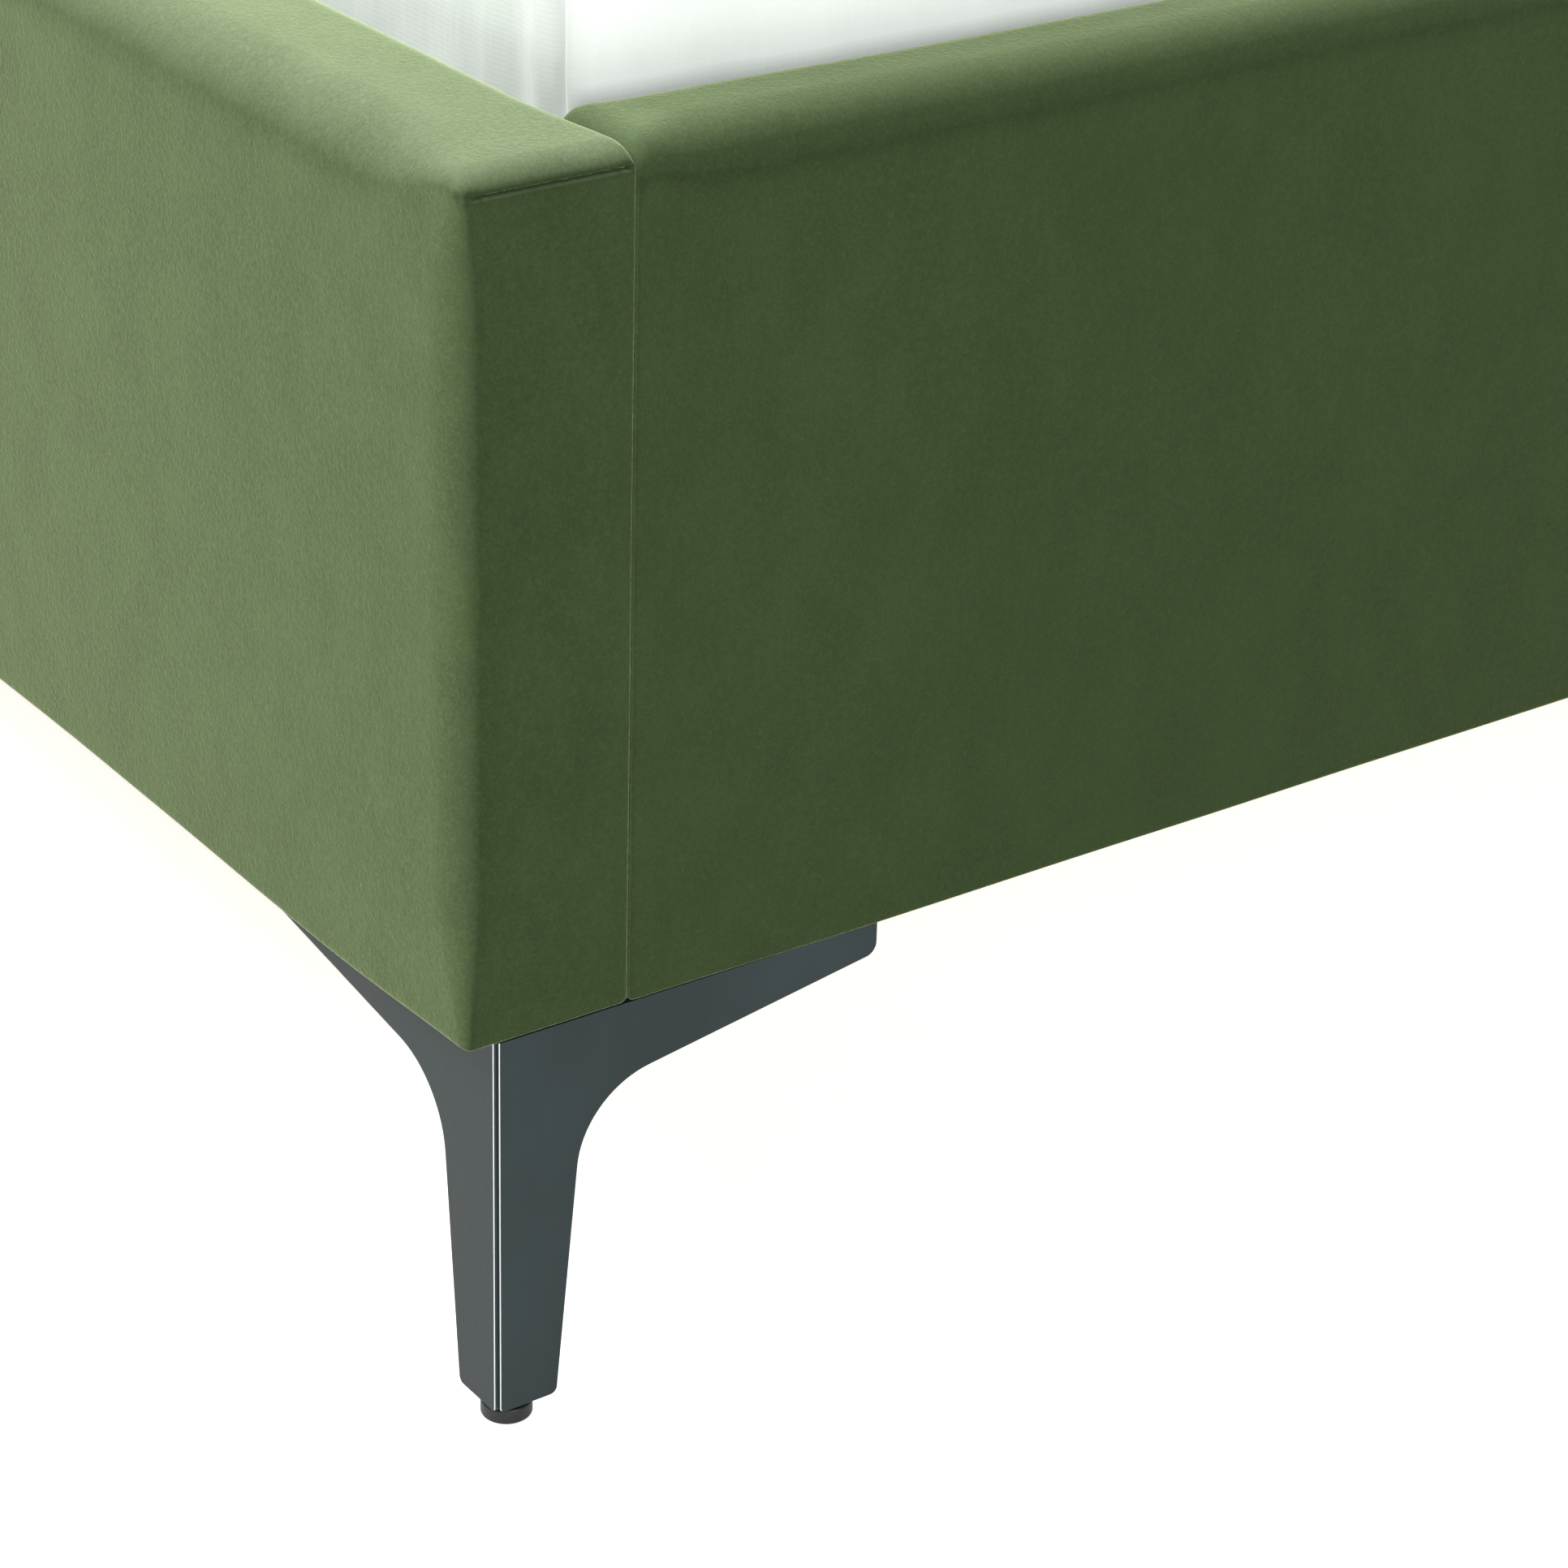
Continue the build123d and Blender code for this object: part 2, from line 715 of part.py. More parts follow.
# The leg is drawn for the right corner of the foot end. Its two plates meet at an open corner,
# so a narrow groove runs down its outer edge. A flange takes the screws, and a small plate with
# a welded nut holds the glide.
with BuildPart() as leg_foot_right:
    corner = (leg_corner_x, -leg_corner_y)
    leg_wing(Plane((*corner, 0), x_dir=(-1, 0, 0), z_dir=(0, 1, 0)), leg_plate)
    leg_wing(Plane((*corner, 0), x_dir=(0, 1, 0), z_dir=(1, 0, 0)), -leg_plate)
    flange_x = (corner[0] - leg_tip, corner[0] - leg_plate / 2)
    flange_y = (corner[1] + leg_plate / 2, corner[1] + leg_tip)
    flange_z = (rail_bottom - leg_plate, rail_bottom)
    block(flange_x, (flange_y[0], corner[1] + leg_flange_width), flange_z)
    block((corner[0] - leg_flange_width, flange_x[1]), flange_y, flange_z)
    nut_plate_z = (foot_plate_height, foot_plate_height + leg_plate)
    block(
        (corner[0] - foot_plate_width, flange_x[1]),
        (flange_y[0], corner[1] + foot_plate_width),
        nut_plate_z,
    )
    with Locations((glide_x, -glide_y, foot_plate_height)):
        Cylinder(foot_nut_radius, foot_nut_height + leg_plate, align=(Align.CENTER, Align.CENTER, Align.MIN))
        Cylinder(
            glide_stud_radius + running_gap,
            foot_nut_height + leg_plate,
            align=(Align.CENTER, Align.CENTER, Align.MIN),
            mode=Mode.SUBTRACT,
        )
    with Locations(*upward(leg_screw_points, rail_bottom)):
        Cylinder(leg_screw_radius + leg_screw_clearance, 4 * leg_plate, mode=Mode.SUBTRACT)
    upright_edges = leg_foot_right.edges().filter_by(Axis.Z)
    groove_edges = [
        upright_edges.sort_by_distance((corner[0] - leg_groove, corner[1], rail_bottom / 2))[0],
        upright_edges.sort_by_distance((corner[0], corner[1] + leg_groove, rail_bottom / 2))[0],
    ]
    fillet(groove_edges, leg_groove_round)

with BuildPart() as leg_foot_left:
    add(mirror(leg_foot_right.part, about=Plane.YZ, mode=Mode.PRIVATE))

with BuildPart() as leg_head_right:
    add(mirror(leg_foot_right.part, about=Plane.XZ, mode=Mode.PRIVATE))

with BuildPart() as leg_head_left:
    add(mirror(leg_foot_left.part, about=Plane.XZ, mode=Mode.PRIVATE))

save(leg_foot_right, "leg_foot_right")
save(leg_foot_left, "leg_foot_left")
save(leg_head_right, "leg_head_right")
save(leg_head_left, "leg_head_left")

with BuildPart() as leg_screws:
    with Locations(*upward(leg_screw_points, rail_bottom - leg_plate)):
        Cylinder(leg_screw_radius, leg_screw_length, align=(Align.CENTER, Align.CENTER, Align.MIN))
        Cylinder(leg_screw_head_radius, leg_screw_head_height, align=(Align.CENTER, Align.CENTER, Align.MAX))
save(leg_screws, "leg_screws")

# ---------------------------------------------------------------- levelling glides
# A glide's pad stays still on the floor while its stud turns in it. The stud has a flange that
# the pad is moulded round, and a six-sided collar for a spanner.
for (end_name, end), (side_name, side) in product(ends.items(), sides.items()):
    centre = (side * glide_x, end * glide_y)
    ball_top = glide_floor + glide_ball_height
    with BuildPart() as glide_pad:
        with BuildSketch(Plane.XY):
            with Locations(centre):
                Circle(glide_radius)
        extrude(amount=glide_height)
        fillet(glide_pad.edges().filter_by(GeomType.CIRCLE), glide_edge_radius)
        with BuildSketch(Plane.XY.offset(glide_floor - running_gap)):
            with Locations(centre):
                Circle(glide_ball_radius + running_gap)
        extrude(amount=glide_ball_height + 2 * running_gap, mode=Mode.SUBTRACT)
        with BuildSketch(Plane.XY.offset(ball_top)):
            with Locations(centre):
                Circle(glide_stud_radius + running_gap)
        extrude(amount=glide_height - ball_top, mode=Mode.SUBTRACT)
    save(glide_pad, f"glide_pad_{end_name}_{side_name}")

    with BuildPart() as glide_stud:
        with BuildSketch(Plane.XY.offset(glide_floor)):
            with Locations(centre):
                Circle(glide_ball_radius)
        extrude(amount=glide_ball_height)
        with BuildSketch(Plane.XY.offset(glide_floor)):
            with Locations(centre):
                Circle(glide_stud_radius)
        extrude(amount=glide_stud_top - glide_floor)
        with BuildSketch(Plane.XY.offset(collar_bottom)):
            with Locations(centre):
                RegularPolygon(glide_collar_width / 2, 6, major_radius=False)
        extrude(amount=glide_collar_height)
        stud_end = glide_stud.faces().sort_by(Axis.Z)[-1]
        chamfer(stud_end.edges(), glide_stud_radius / 5)
    save(glide_stud, f"glide_stud_{end_name}_{side_name}")

# ---------------------------------------------------------------- centre legs
centre_names = ("foot", "head")
for name, middle in zip(centre_names, centre_leg_middles):
    with BuildPart() as centre_leg:
        with BuildSketch(Plane.XY.offset(centre_tube_bottom)):
            with Locations((0, middle)):
                Circle(centre_tube_radius)
                Circle(centre_tube_radius - centre_tube_wall, mode=Mode.SUBTRACT)
        extrude(amount=beam_bottom - centre_tube_bottom)
        with BuildSketch(Plane.XY.offset(beam_bottom - centre_flange_thickness)):
            with Locations((0, middle)):
                RectangleRounded(beam_width, centre_flange_width, beam_width / 8)
        extrude(amount=centre_flange_thickness)
        with BuildSketch(Plane.XY.offset(centre_tube_bottom)):
            with Locations((0, middle)):
                Circle(centre_tube_radius - centre_tube_wall / 2)
        extrude(amount=centre_nut_height)
        with Locations((0, middle, centre_tube_bottom)):
            Cylinder(
                centre_stud_radius + running_gap,
                centre_nut_height,
                align=(Align.CENTER, Align.CENTER, Align.MIN),
                mode=Mode.SUBTRACT,
            )
        with Locations(*upward(centre_screw_points, beam_bottom)):
            Cylinder(frame_screw_radius, 4 * centre_flange_thickness, mode=Mode.SUBTRACT)
    save(centre_leg, f"centre_leg_{name}")

    with BuildPart() as centre_screw_foot:
        with BuildSketch(Plane.XY):
            with Locations((0, middle)):
                Circle(centre_foot_radius)
        extrude(amount=centre_foot_height)
        fillet(centre_screw_foot.edges().filter_by(GeomType.CIRCLE), centre_foot_height / 4)
        with BuildSketch(Plane.XY.offset(centre_foot_height)):
            with Locations((0, middle)):
                Circle(centre_stud_radius)
        extrude(amount=centre_stud_top - centre_foot_height)
    save(centre_screw_foot, f"centre_screw_foot_{name}")

# ---------------------------------------------------------------- mattress and fitted sheet
mattress_bottom = slat_top + mattress_rest_gap


def bedding_block(inset, low):
    """A block the shape of the made-up mattress, drawn in by an inset on every side but the bottom."""
    with BuildSketch(Plane.XY.offset(low)) as plan:
        RectangleRounded(
            mattress_width - 2 * inset,
            mattress_length - 2 * inset,
            mattress_corner_radius - inset,
        )
    extrude(plan.sketch, amount=mattress_bottom + mattress_height - inset - low)


with BuildPart() as mattress:
    mattress_inset = sheet_thickness + sheet_fit_gap
    bedding_block(mattress_inset, mattress_bottom)
    fillet(mattress.faces().sort_by(Axis.Z)[-1].edges(), mattress_edge_radius - mattress_inset)
save(mattress, "mattress")

with BuildPart() as sheet_cavity:
    bedding_block(sheet_thickness, mattress_bottom - sheet_thickness)
    fillet(sheet_cavity.faces().sort_by(Axis.Z)[-1].edges(), mattress_edge_radius - sheet_thickness)

with BuildPart() as fitted_sheet:
    bedding_block(0, mattress_bottom)
    fillet(fitted_sheet.faces().sort_by(Axis.Z)[-1].edges(), mattress_edge_radius)
    add(sheet_cavity.part, mode=Mode.SUBTRACT)
save(fitted_sheet, "fitted_sheet")
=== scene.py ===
"""Upholstered headboard bed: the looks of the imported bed, in metres.

+Z is up and the floor is z = 0. The head of the bed is at +Y and its foot at -Y. Right is +X, seen
from the foot. The velvet covers, the foam, the mattress, its sheet and the dust cloth are made here,
in the places that the frame gives. Timber, steel and plastic pieces keep the frame's own meshes.
"""

import json
import math

import bmesh
import bpy
import numpy as np
from mathutils import Matrix, Vector


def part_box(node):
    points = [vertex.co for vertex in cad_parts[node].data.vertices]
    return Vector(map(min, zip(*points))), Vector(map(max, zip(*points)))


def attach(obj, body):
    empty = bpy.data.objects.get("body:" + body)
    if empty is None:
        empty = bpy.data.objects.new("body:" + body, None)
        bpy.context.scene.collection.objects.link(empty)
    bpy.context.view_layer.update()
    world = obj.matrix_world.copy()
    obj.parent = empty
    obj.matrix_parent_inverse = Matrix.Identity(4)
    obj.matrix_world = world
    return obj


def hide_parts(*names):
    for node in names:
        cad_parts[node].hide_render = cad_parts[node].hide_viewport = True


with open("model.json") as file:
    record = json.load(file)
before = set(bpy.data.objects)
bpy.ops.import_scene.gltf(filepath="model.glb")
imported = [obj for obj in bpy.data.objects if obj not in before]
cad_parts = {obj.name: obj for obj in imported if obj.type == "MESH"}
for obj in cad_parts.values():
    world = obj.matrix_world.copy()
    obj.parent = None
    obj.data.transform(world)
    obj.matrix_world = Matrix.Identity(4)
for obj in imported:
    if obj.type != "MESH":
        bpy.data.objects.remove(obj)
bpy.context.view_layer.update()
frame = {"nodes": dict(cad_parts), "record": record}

nodes = frame["nodes"]
MM = 0.001
sides = {"left": -1, "right": 1}

# ---------------------------------------------------------------- places, read from the frame
footboard_low, footboard_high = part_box("footboard_cover")
headboard_low, headboard_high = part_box("headboard_cover")
rail_low, rail_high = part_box("side_rail_right_cover")
board_low, board_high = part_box("side_rail_right_board")
sheet_low, sheet_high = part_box("fitted_sheet")
cloth_low, cloth_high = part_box("headboard_dust_cloth")
ledger_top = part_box("slat_ledger_right")[1].z
half_width = footboard_high.x
rail_bottom = footboard_low.z

# Velvet: how its panels roll over, and where it is sewn
cover_thickness = 1.2 * MM
foam_gap = 1.5 * MM
foam_least = 3 * MM
glue_line = 0.03
hem_width = 14 * MM
front_roll = 24 * MM
rear_roll = 11 * MM
end_front_roll = 6 * MM
end_rear_roll = 5 * MM
hem_roll = 2.5 * MM
corner_roll = 12 * MM
tight_corner_roll = 4 * MM
corner_stretch = 1.6
corner_reach = 60 * MM
end_roll_reach = 14 * MM
end_roll_depth = 12 * MM
end_roll_cut = 2 * MM
seam_reach = 12 * MM
seam_shadow_width = 0.9 * MM
seam_depth = 2.4 * MM
seam_half_width = 0.8 * MM
seam_corner = 4.5 * MM
end_crown = 0.8 * MM
hem_edge_reach = 3 * MM
hem_edge_depth = 2.5 * MM
rear_edge_depth = 2.5 * MM
channel_count = 11
channel_depth = 16 * MM
channel_floor = rail_high.z + 26 * MM
channel_foot_reach = 55 * MM

# How far in from the edge the cloth over a panel's end is shaped, in mm: close together at its seam.
# An open end is only turned in round its edge.
closed_end_rings = [0.35, 0.7, 1.05, 1.4, 1.8, 2.3, 3, 4.2, 6, 8.5, 12, 16, 21, 26]
open_end_rings = [0.6, 1.5, 3, 6, 10]

# The open corner joint of a leg: how far it reaches from the corner, and where the painted highlight lies
# along its edges
leg_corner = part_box("leg_head_right")[1]
groove_reach = 2.05 * MM
edge_start = 0.09 * MM
edge_end = 0.38 * MM

# A wave pattern's bands are about this far apart, in metres, where its scale is 1
wave_pitch = 2 / 6.3


# ---------------------------------------------------------------- colours and nodes
def linear(colour):
    """An sRGB hex colour as linear red, green, blue and alpha."""
    parts = [int(colour[place:place + 2], 16) / 255 for place in (1, 3, 5)]
    return [part / 12.92 if part <= 0.04045 else ((part + 0.055) / 1.055) ** 2.4 for part in parts] + [1.0]


def add_node(tree, kind, inputs=None, out=None, **settings):
    """Adds one node, with its settings, and its inputs as links or as fixed values. Gives back one of its
    outputs, or the whole node where none is named."""
    node = tree.nodes.new(kind)
    for name, value in settings.items():
        setattr(node, name, value)
    for name, value in (inputs or {}).items():
        if isinstance(value, bpy.types.NodeSocket):
            tree.links.new(value, node.inputs[name])
        else:
            node.inputs[name].default_value = value
    return node if out is None else node.outputs[out]


def start_material(name, **surface):
    """A new material with its shader, the values fixed all over it, and the piece's own coordinates."""
    material = bpy.data.materials.new(name)
    material.use_nodes = True
    tree = material.node_tree
    tree.nodes.clear()
    values = {key.replace("_", " "): value for key, value in surface.items()}
    shader = add_node(tree, "ShaderNodeBsdfPrincipled", values)
    add_node(tree, "ShaderNodeOutputMaterial", {"Surface": shader.outputs["BSDF"]})
    place = add_node(tree, "ShaderNodeTexCoord").outputs["Object"]
    return material, tree, shader, place


# ---------------------------------------------------------------- materials
def cut_pile_velvet(name, top_shade_painted_tint):
    """Polyester cut-pile velvet, dyed sage green.

    The pile is dark where it is seen end on and pale where it is seen along the cloth. Light and shade
    are painted into its colour by which way each face looks: palest on top, darker down the front and
    the back, darker still on the sides, and darker again on faces that look down. The top tint given is
    a painted shade over the tops, deepest on the side rails, where the bedding shades them. A painted
    shade darkens the seams. It bruises in soft patches. Its 0.3 mm tufts are drawn 1 mm wide.
    """
    material, tree, shader, place = start_material(
        name, Roughness=0.95, Sheen_Weight=1.0, Sheen_Roughness=0.3,
        Sheen_Tint=linear("#dfefb8"), Specular_IOR_Level=0.1,
    )
    tufts = add_node(tree, "ShaderNodeTexNoise", {
        "Vector": place, "Scale": 1 / (1.0 * MM), "Detail": 2.0,
    }, "Fac")
    nap = add_node(tree, "ShaderNodeTexNoise", {
        "Vector": add_node(tree, "ShaderNodeVectorMath", {
            0: place, 1: (1, 1, 1 / 1.25),
        }, 0, operation="MULTIPLY"),
        "Scale": 1 / (2.4 * MM), "Detail": 3.0,
    }, "Fac")
    bruise = add_node(tree, "ShaderNodeTexNoise", {
        "Vector": add_node(tree, "ShaderNodeVectorMath", {
            0: place, 1: (1, 1, 1 / 1.5),
        }, 0, operation="MULTIPLY"),
        "Scale": 1 / (26 * MM), "Detail": 3.0, "Roughness": 0.6,
    }, "Fac")
    drift = add_node(tree, "ShaderNodeTexNoise", {
        "Vector": add_node(tree, "ShaderNodeVectorMath", {
            0: place, 1: (1, 1, 1 / 2.2),
        }, 0, operation="MULTIPLY"),
        "Scale": 1 / (260 * MM), "Detail": 2.0,
    }, "Fac")
    fine = add_node(tree, "ShaderNodeMix", {
        0: add_node(tree, "ShaderNodeMapRange", {
            "Value": tufts, "From Min": 0.32, "From Max": 0.68,
        }, 0),
        6: linear("#788a67"), 7: linear("#8fa278"),
    }, 2, data_type="RGBA")
    napped = add_node(tree, "ShaderNodeMix", {
        0: add_node(tree, "ShaderNodeMapRange", {
            "Value": nap, "From Min": 0.32, "From Max": 0.68, "To Min": 0.0, "To Max": 0.5,
        }, 0),
        6: fine, 7: linear("#718361"),
    }, 2, data_type="RGBA")
    bruised = add_node(tree, "ShaderNodeMix", {
        0: add_node(tree, "ShaderNodeMapRange", {
            "Value": bruise, "From Min": 0.36, "From Max": 0.66, "To Min": 0.0, "To Max": 0.15,
        }, 0),
        6: napped, 7: linear("#a4be92"),
    }, 2, data_type="RGBA")
    drifted = add_node(tree, "ShaderNodeMix", {
        0: add_node(tree, "ShaderNodeMapRange", {
            "Value": drift, "From Min": 0.35, "From Max": 0.65, "To Min": 0.0, "To Max": 0.12,
        }, 0),
        6: bruised, 7: linear("#71875d"),
    }, 2, data_type="RGBA")
    lint = add_node(tree, "ShaderNodeTexVoronoi", {"Vector": place, "Scale": 1 / (34 * MM)})
    near = add_node(tree, "ShaderNodeMath", {
        0: lint.outputs["Distance"], 1: 0.016,
    }, 0, operation="LESS_THAN")
    linted = add_node(tree, "ShaderNodeMix", {
        0: add_node(tree, "ShaderNodeMath", {0: near, 1: 0.3}, 0, operation="MULTIPLY"), 6: drifted,
        7: linear("#c3cdb2"),
    }, 2, data_type="RGBA")
    facing = add_node(tree, "ShaderNodeTexCoord").outputs["Normal"]
    split = add_node(tree, "ShaderNodeSeparateXYZ", {"Vector": facing}).outputs
    upright = add_node(tree, "ShaderNodeMapRange", {
        "Value": split["Z"], "From Min": 0.3, "From Max": 0.97, "To Min": 1.0, "To Max": 0.0,
    }, 0)
    # Painted shade over the tops: they are multiplied by the top tint given, deepest on the side rails, where
    # the bedding shades them.
    painted_top_shade = add_node(tree, "ShaderNodeMix", {
        0: add_node(tree, "ShaderNodeMapRange", {
            "Value": split["Z"], "From Min": 0.1, "From Max": 0.8,
        }, 0),
        6: linted, 7: linear(top_shade_painted_tint),
    }, 2, data_type="RGBA", blend_type="MULTIPLY")
    # Painted shade: every face that turns away from the top is darkened by #a5aa9b.
    painted_upright_shade = add_node(tree, "ShaderNodeMix", {
        0: upright, 6: painted_top_shade, 7: linear("#a5aa9b"),
    }, 2, data_type="RGBA", blend_type="MULTIPLY")
    # Painted shade: faces that look sideways are darkened again by #a8b1a2, most on the sides.
    sideways = add_node(tree, "ShaderNodeMath", {0: split["X"], 1: split["X"]}, 0, operation="MULTIPLY")
    painted_side_shade = add_node(tree, "ShaderNodeMix", {
        0: add_node(tree, "ShaderNodeMapRange", {
            "Value": sideways, "From Min": 0.06, "From Max": 0.62,
        }, 0),
        6: painted_upright_shade, 7: linear("#a8b1a2"),
    }, 2, data_type="RGBA", blend_type="MULTIPLY")
    # Painted shade under the cloth: faces that look down are darkened by #8e9a80.
    painted_underside_mask = add_node(tree, "ShaderNodeMapRange", {
        "Value": split["Z"], "From Min": -0.15, "From Max": -0.7,
    }, 0)
    shaded = add_node(tree, "ShaderNodeMix", {
        0: painted_underside_mask, 6: painted_side_shade, 7: linear("#8e9a80"),
    }, 2, data_type="RGBA", blend_type="MULTIPLY")
    # Painted shade in the seams: the velvet is darkened towards #28331f along them, by a weight kept on each
    # point.
    painted_seam_shadow = add_node(tree, "ShaderNodeAttribute", None, "Fac", attribute_name="painted_seam_shadow")
    pile_colour_with_painted_light = add_node(tree, "ShaderNodeMix", {
        0: add_node(tree, "ShaderNodeMath", {0: painted_seam_shadow, 1: 0.9}, 0, operation="MULTIPLY"),
        6: shaded, 7: linear("#28331f"),
    }, 2, data_type="RGBA")
    tree.links.new(pile_colour_with_painted_light, shader.inputs["Base Color"])
    pile = add_node(tree, "ShaderNodeBump", {
        "Height": tufts, "Strength": 1.0, "Distance": 0.22 * MM,
    }, "Normal")
    relief = add_node(tree, "ShaderNodeBump", {
        "Height": nap, "Strength": 1.0, "Distance": 0.2 * MM, "Normal": pile,
    }, "Normal")
    tree.links.new(relief, shader.inputs["Normal"])
    return material


def powder_coated_steel():
    """Steel plate, powder coated satin gunmetal grey: a faint orange peel, a painted highlight as a
    near-white line along the two edges of the open corner joint, and a painted shade of flat dark grey
    in the joint between them."""
    material, tree, shader, place = start_material(
        "powder_coated_steel_gunmetal", IOR=1.5, Specular_IOR_Level=0.22,
    )
    peel = add_node(tree, "ShaderNodeTexNoise", {
        "Vector": place, "Scale": 1 / (1.6 * MM), "Detail": 2.0,
    }, "Fac")
    cast = add_node(tree, "ShaderNodeTexNoise", {
        "Vector": add_node(tree, "ShaderNodeVectorMath", {
            0: place, 1: (1, 1, 1 / 2),
        }, 0, operation="MULTIPLY"),
        "Scale": 1 / (60 * MM), "Detail": 3.0,
    }, "Fac")
    speckle = add_node(tree, "ShaderNodeTexNoise", {
        "Vector": place, "Scale": 1 / (0.9 * MM), "Detail": 1.0,
    }, "Fac")
    coat = add_node(tree, "ShaderNodeMix", {
        0: add_node(tree, "ShaderNodeMapRange", {"Value": cast, "From Min": 0.35, "From Max": 0.65}, 0),
        6: linear("#232e30"), 7: linear("#2c393b"),
    }, 2, data_type="RGBA")
    coat = add_node(tree, "ShaderNodeMix", {
        0: add_node(tree, "ShaderNodeMapRange", {
            "Value": speckle, "From Min": 0.55, "From Max": 0.8, "To Min": 0.0, "To Max": 0.12,
        }, 0),
        6: coat, 7: linear("#415053"),
    }, 2, data_type="RGBA")
    spread = add_node(tree, "ShaderNodeVectorMath", {0: place}, 0, operation="ABSOLUTE")
    corner = (leg_corner.x, leg_corner.y, 0)
    away = add_node(tree, "ShaderNodeVectorMath", {0: spread, 1: corner}, 0, operation="SUBTRACT")
    inward = add_node(tree, "ShaderNodeVectorMath", {0: away}, 0, operation="ABSOLUTE")
    split = add_node(tree, "ShaderNodeSeparateXYZ", {"Vector": inward}).outputs
    nearer = add_node(tree, "ShaderNodeMath", {0: split["X"], 1: split["Y"]}, 0, operation="MINIMUM")
    farther = add_node(tree, "ShaderNodeMath", {0: split["X"], 1: split["Y"]}, 0, operation="MAXIMUM")
    at_corner = add_node(tree, "ShaderNodeMath", {
        0: farther, 1: groove_reach,
    }, 0, operation="LESS_THAN")
    rounded = add_node(tree, "ShaderNodeMath", {
        0: add_node(tree, "ShaderNodeMath", {0: nearer, 1: edge_start}, 0, operation="GREATER_THAN"),
        1: add_node(tree, "ShaderNodeMath", {0: nearer, 1: edge_end}, 0, operation="LESS_THAN"),
    }, 0, operation="MULTIPLY")
    # Painted highlight: a near-white line along each rounded edge of the joint.
    edge = add_node(tree, "ShaderNodeMath", {
        0: add_node(tree, "ShaderNodeMath", {0: rounded, 1: at_corner}, 0, operation="MULTIPLY"),
        1: 0.9,
    }, 0, operation="MULTIPLY")
    # Painted shade: the groove between the two edges is a flat dark grey, #31393b.
    joint = add_node(tree, "ShaderNodeMath", {
        0: add_node(tree, "ShaderNodeMath", {0: nearer, 1: edge_end}, 0, operation="GREATER_THAN"),
        1: at_corner,
    }, 0, operation="MULTIPLY")
    bare = add_node(tree, "ShaderNodeMix", {
        0: joint, 6: coat, 7: linear("#31393b"),
    }, 2, data_type="RGBA")
    painted_edge_highlight = add_node(tree, "ShaderNodeMix", {
        0: edge, 6: bare, 7: linear("#f2f5f5"),
    }, 2, data_type="RGBA")
    tree.links.new(painted_edge_highlight, shader.inputs["Base Color"])
    satin = add_node(tree, "ShaderNodeMapRange", {
        "Value": cast, "From Min": 0.3, "From Max": 0.7, "To Min": 0.4, "To Max": 0.48,
    }, 0)
    tree.links.new(satin, shader.inputs["Roughness"])
    relief = add_node(tree, "ShaderNodeBump", {
        "Height": peel, "Strength": 1.0, "Distance": 0.05 * MM,
    }, "Normal")
    tree.links.new(relief, shader.inputs["Normal"])
    return material


def zinc_plated_steel():
    """Steel, bright zinc plated: a cool satin metal with a faint cloudy bloom."""
    material, tree, shader, place = start_material("zinc_plated_steel", Metallic=1.0)
    bloom = add_node(tree, "ShaderNodeTexNoise", {
        "Vector": place, "Scale": 1 / (5 * MM), "Detail": 4.0,
    }, "Fac")
    tone = add_node(tree, "ShaderNodeMix", {
        0: bloom, 6: linear("#b9bec2"), 7: linear("#d6d9da"),
    }, 2, data_type="RGBA")
    tree.links.new(tone, shader.inputs["Base Color"])
    satin = add_node(tree, "ShaderNodeMapRange", {
        "Value": bloom, "From Min": 0.3, "From Max": 0.7, "To Min": 0.28, "To Max": 0.42,
    }, 0)
    tree.links.new(satin, shader.inputs["Roughness"])
    relief = add_node(tree, "ShaderNodeBump", {
        "Height": add_node(tree, "ShaderNodeTexNoise", {
            "Vector": place, "Scale": 1 / (0.8 * MM), "Detail": 3.0,
        }, "Fac"),
        "Strength": 1.0, "Distance": 0.02 * MM,
    }, "Normal")
    tree.links.new(relief, shader.inputs["Normal"])
    return material


def moulded_nylon():
    """Black nylon, injection moulded with a fine matt spark finish."""
    material, tree, shader, place = start_material("moulded_nylon_black", IOR=1.53)
    spark = add_node(tree, "ShaderNodeTexNoise", {
        "Vector": place, "Scale": 1 / (0.6 * MM), "Detail": 2.0,
    }, "Fac")
    scuff = add_node(tree, "ShaderNodeTexNoise", {
        "Vector": place, "Scale": 1 / (9 * MM), "Detail": 4.0,
    }, "Fac")
    tone = add_node(tree, "ShaderNodeMix", {
        0: add_node(tree, "ShaderNodeMapRange", {"Value": scuff, "From Min": 0.4, "From Max": 0.75}, 0),
        6: linear("#0b0d0f"), 7: linear("#181b1e"),
    }, 2, data_type="RGBA")
    tree.links.new(tone, shader.inputs["Base Color"])
    satin = add_node(tree, "ShaderNodeMapRange", {
        "Value": scuff, "From Min": 0.3, "From Max": 0.7, "To Min": 0.42, "To Max": 0.56,
    }, 0)
    tree.links.new(satin, shader.inputs["Roughness"])
    relief = add_node(tree, "ShaderNodeBump", {
        "Height": spark, "Strength": 1.0, "Distance": 0.04 * MM,
    }, "Normal")
    tree.links.new(relief, shader.inputs["Normal"])
    return material


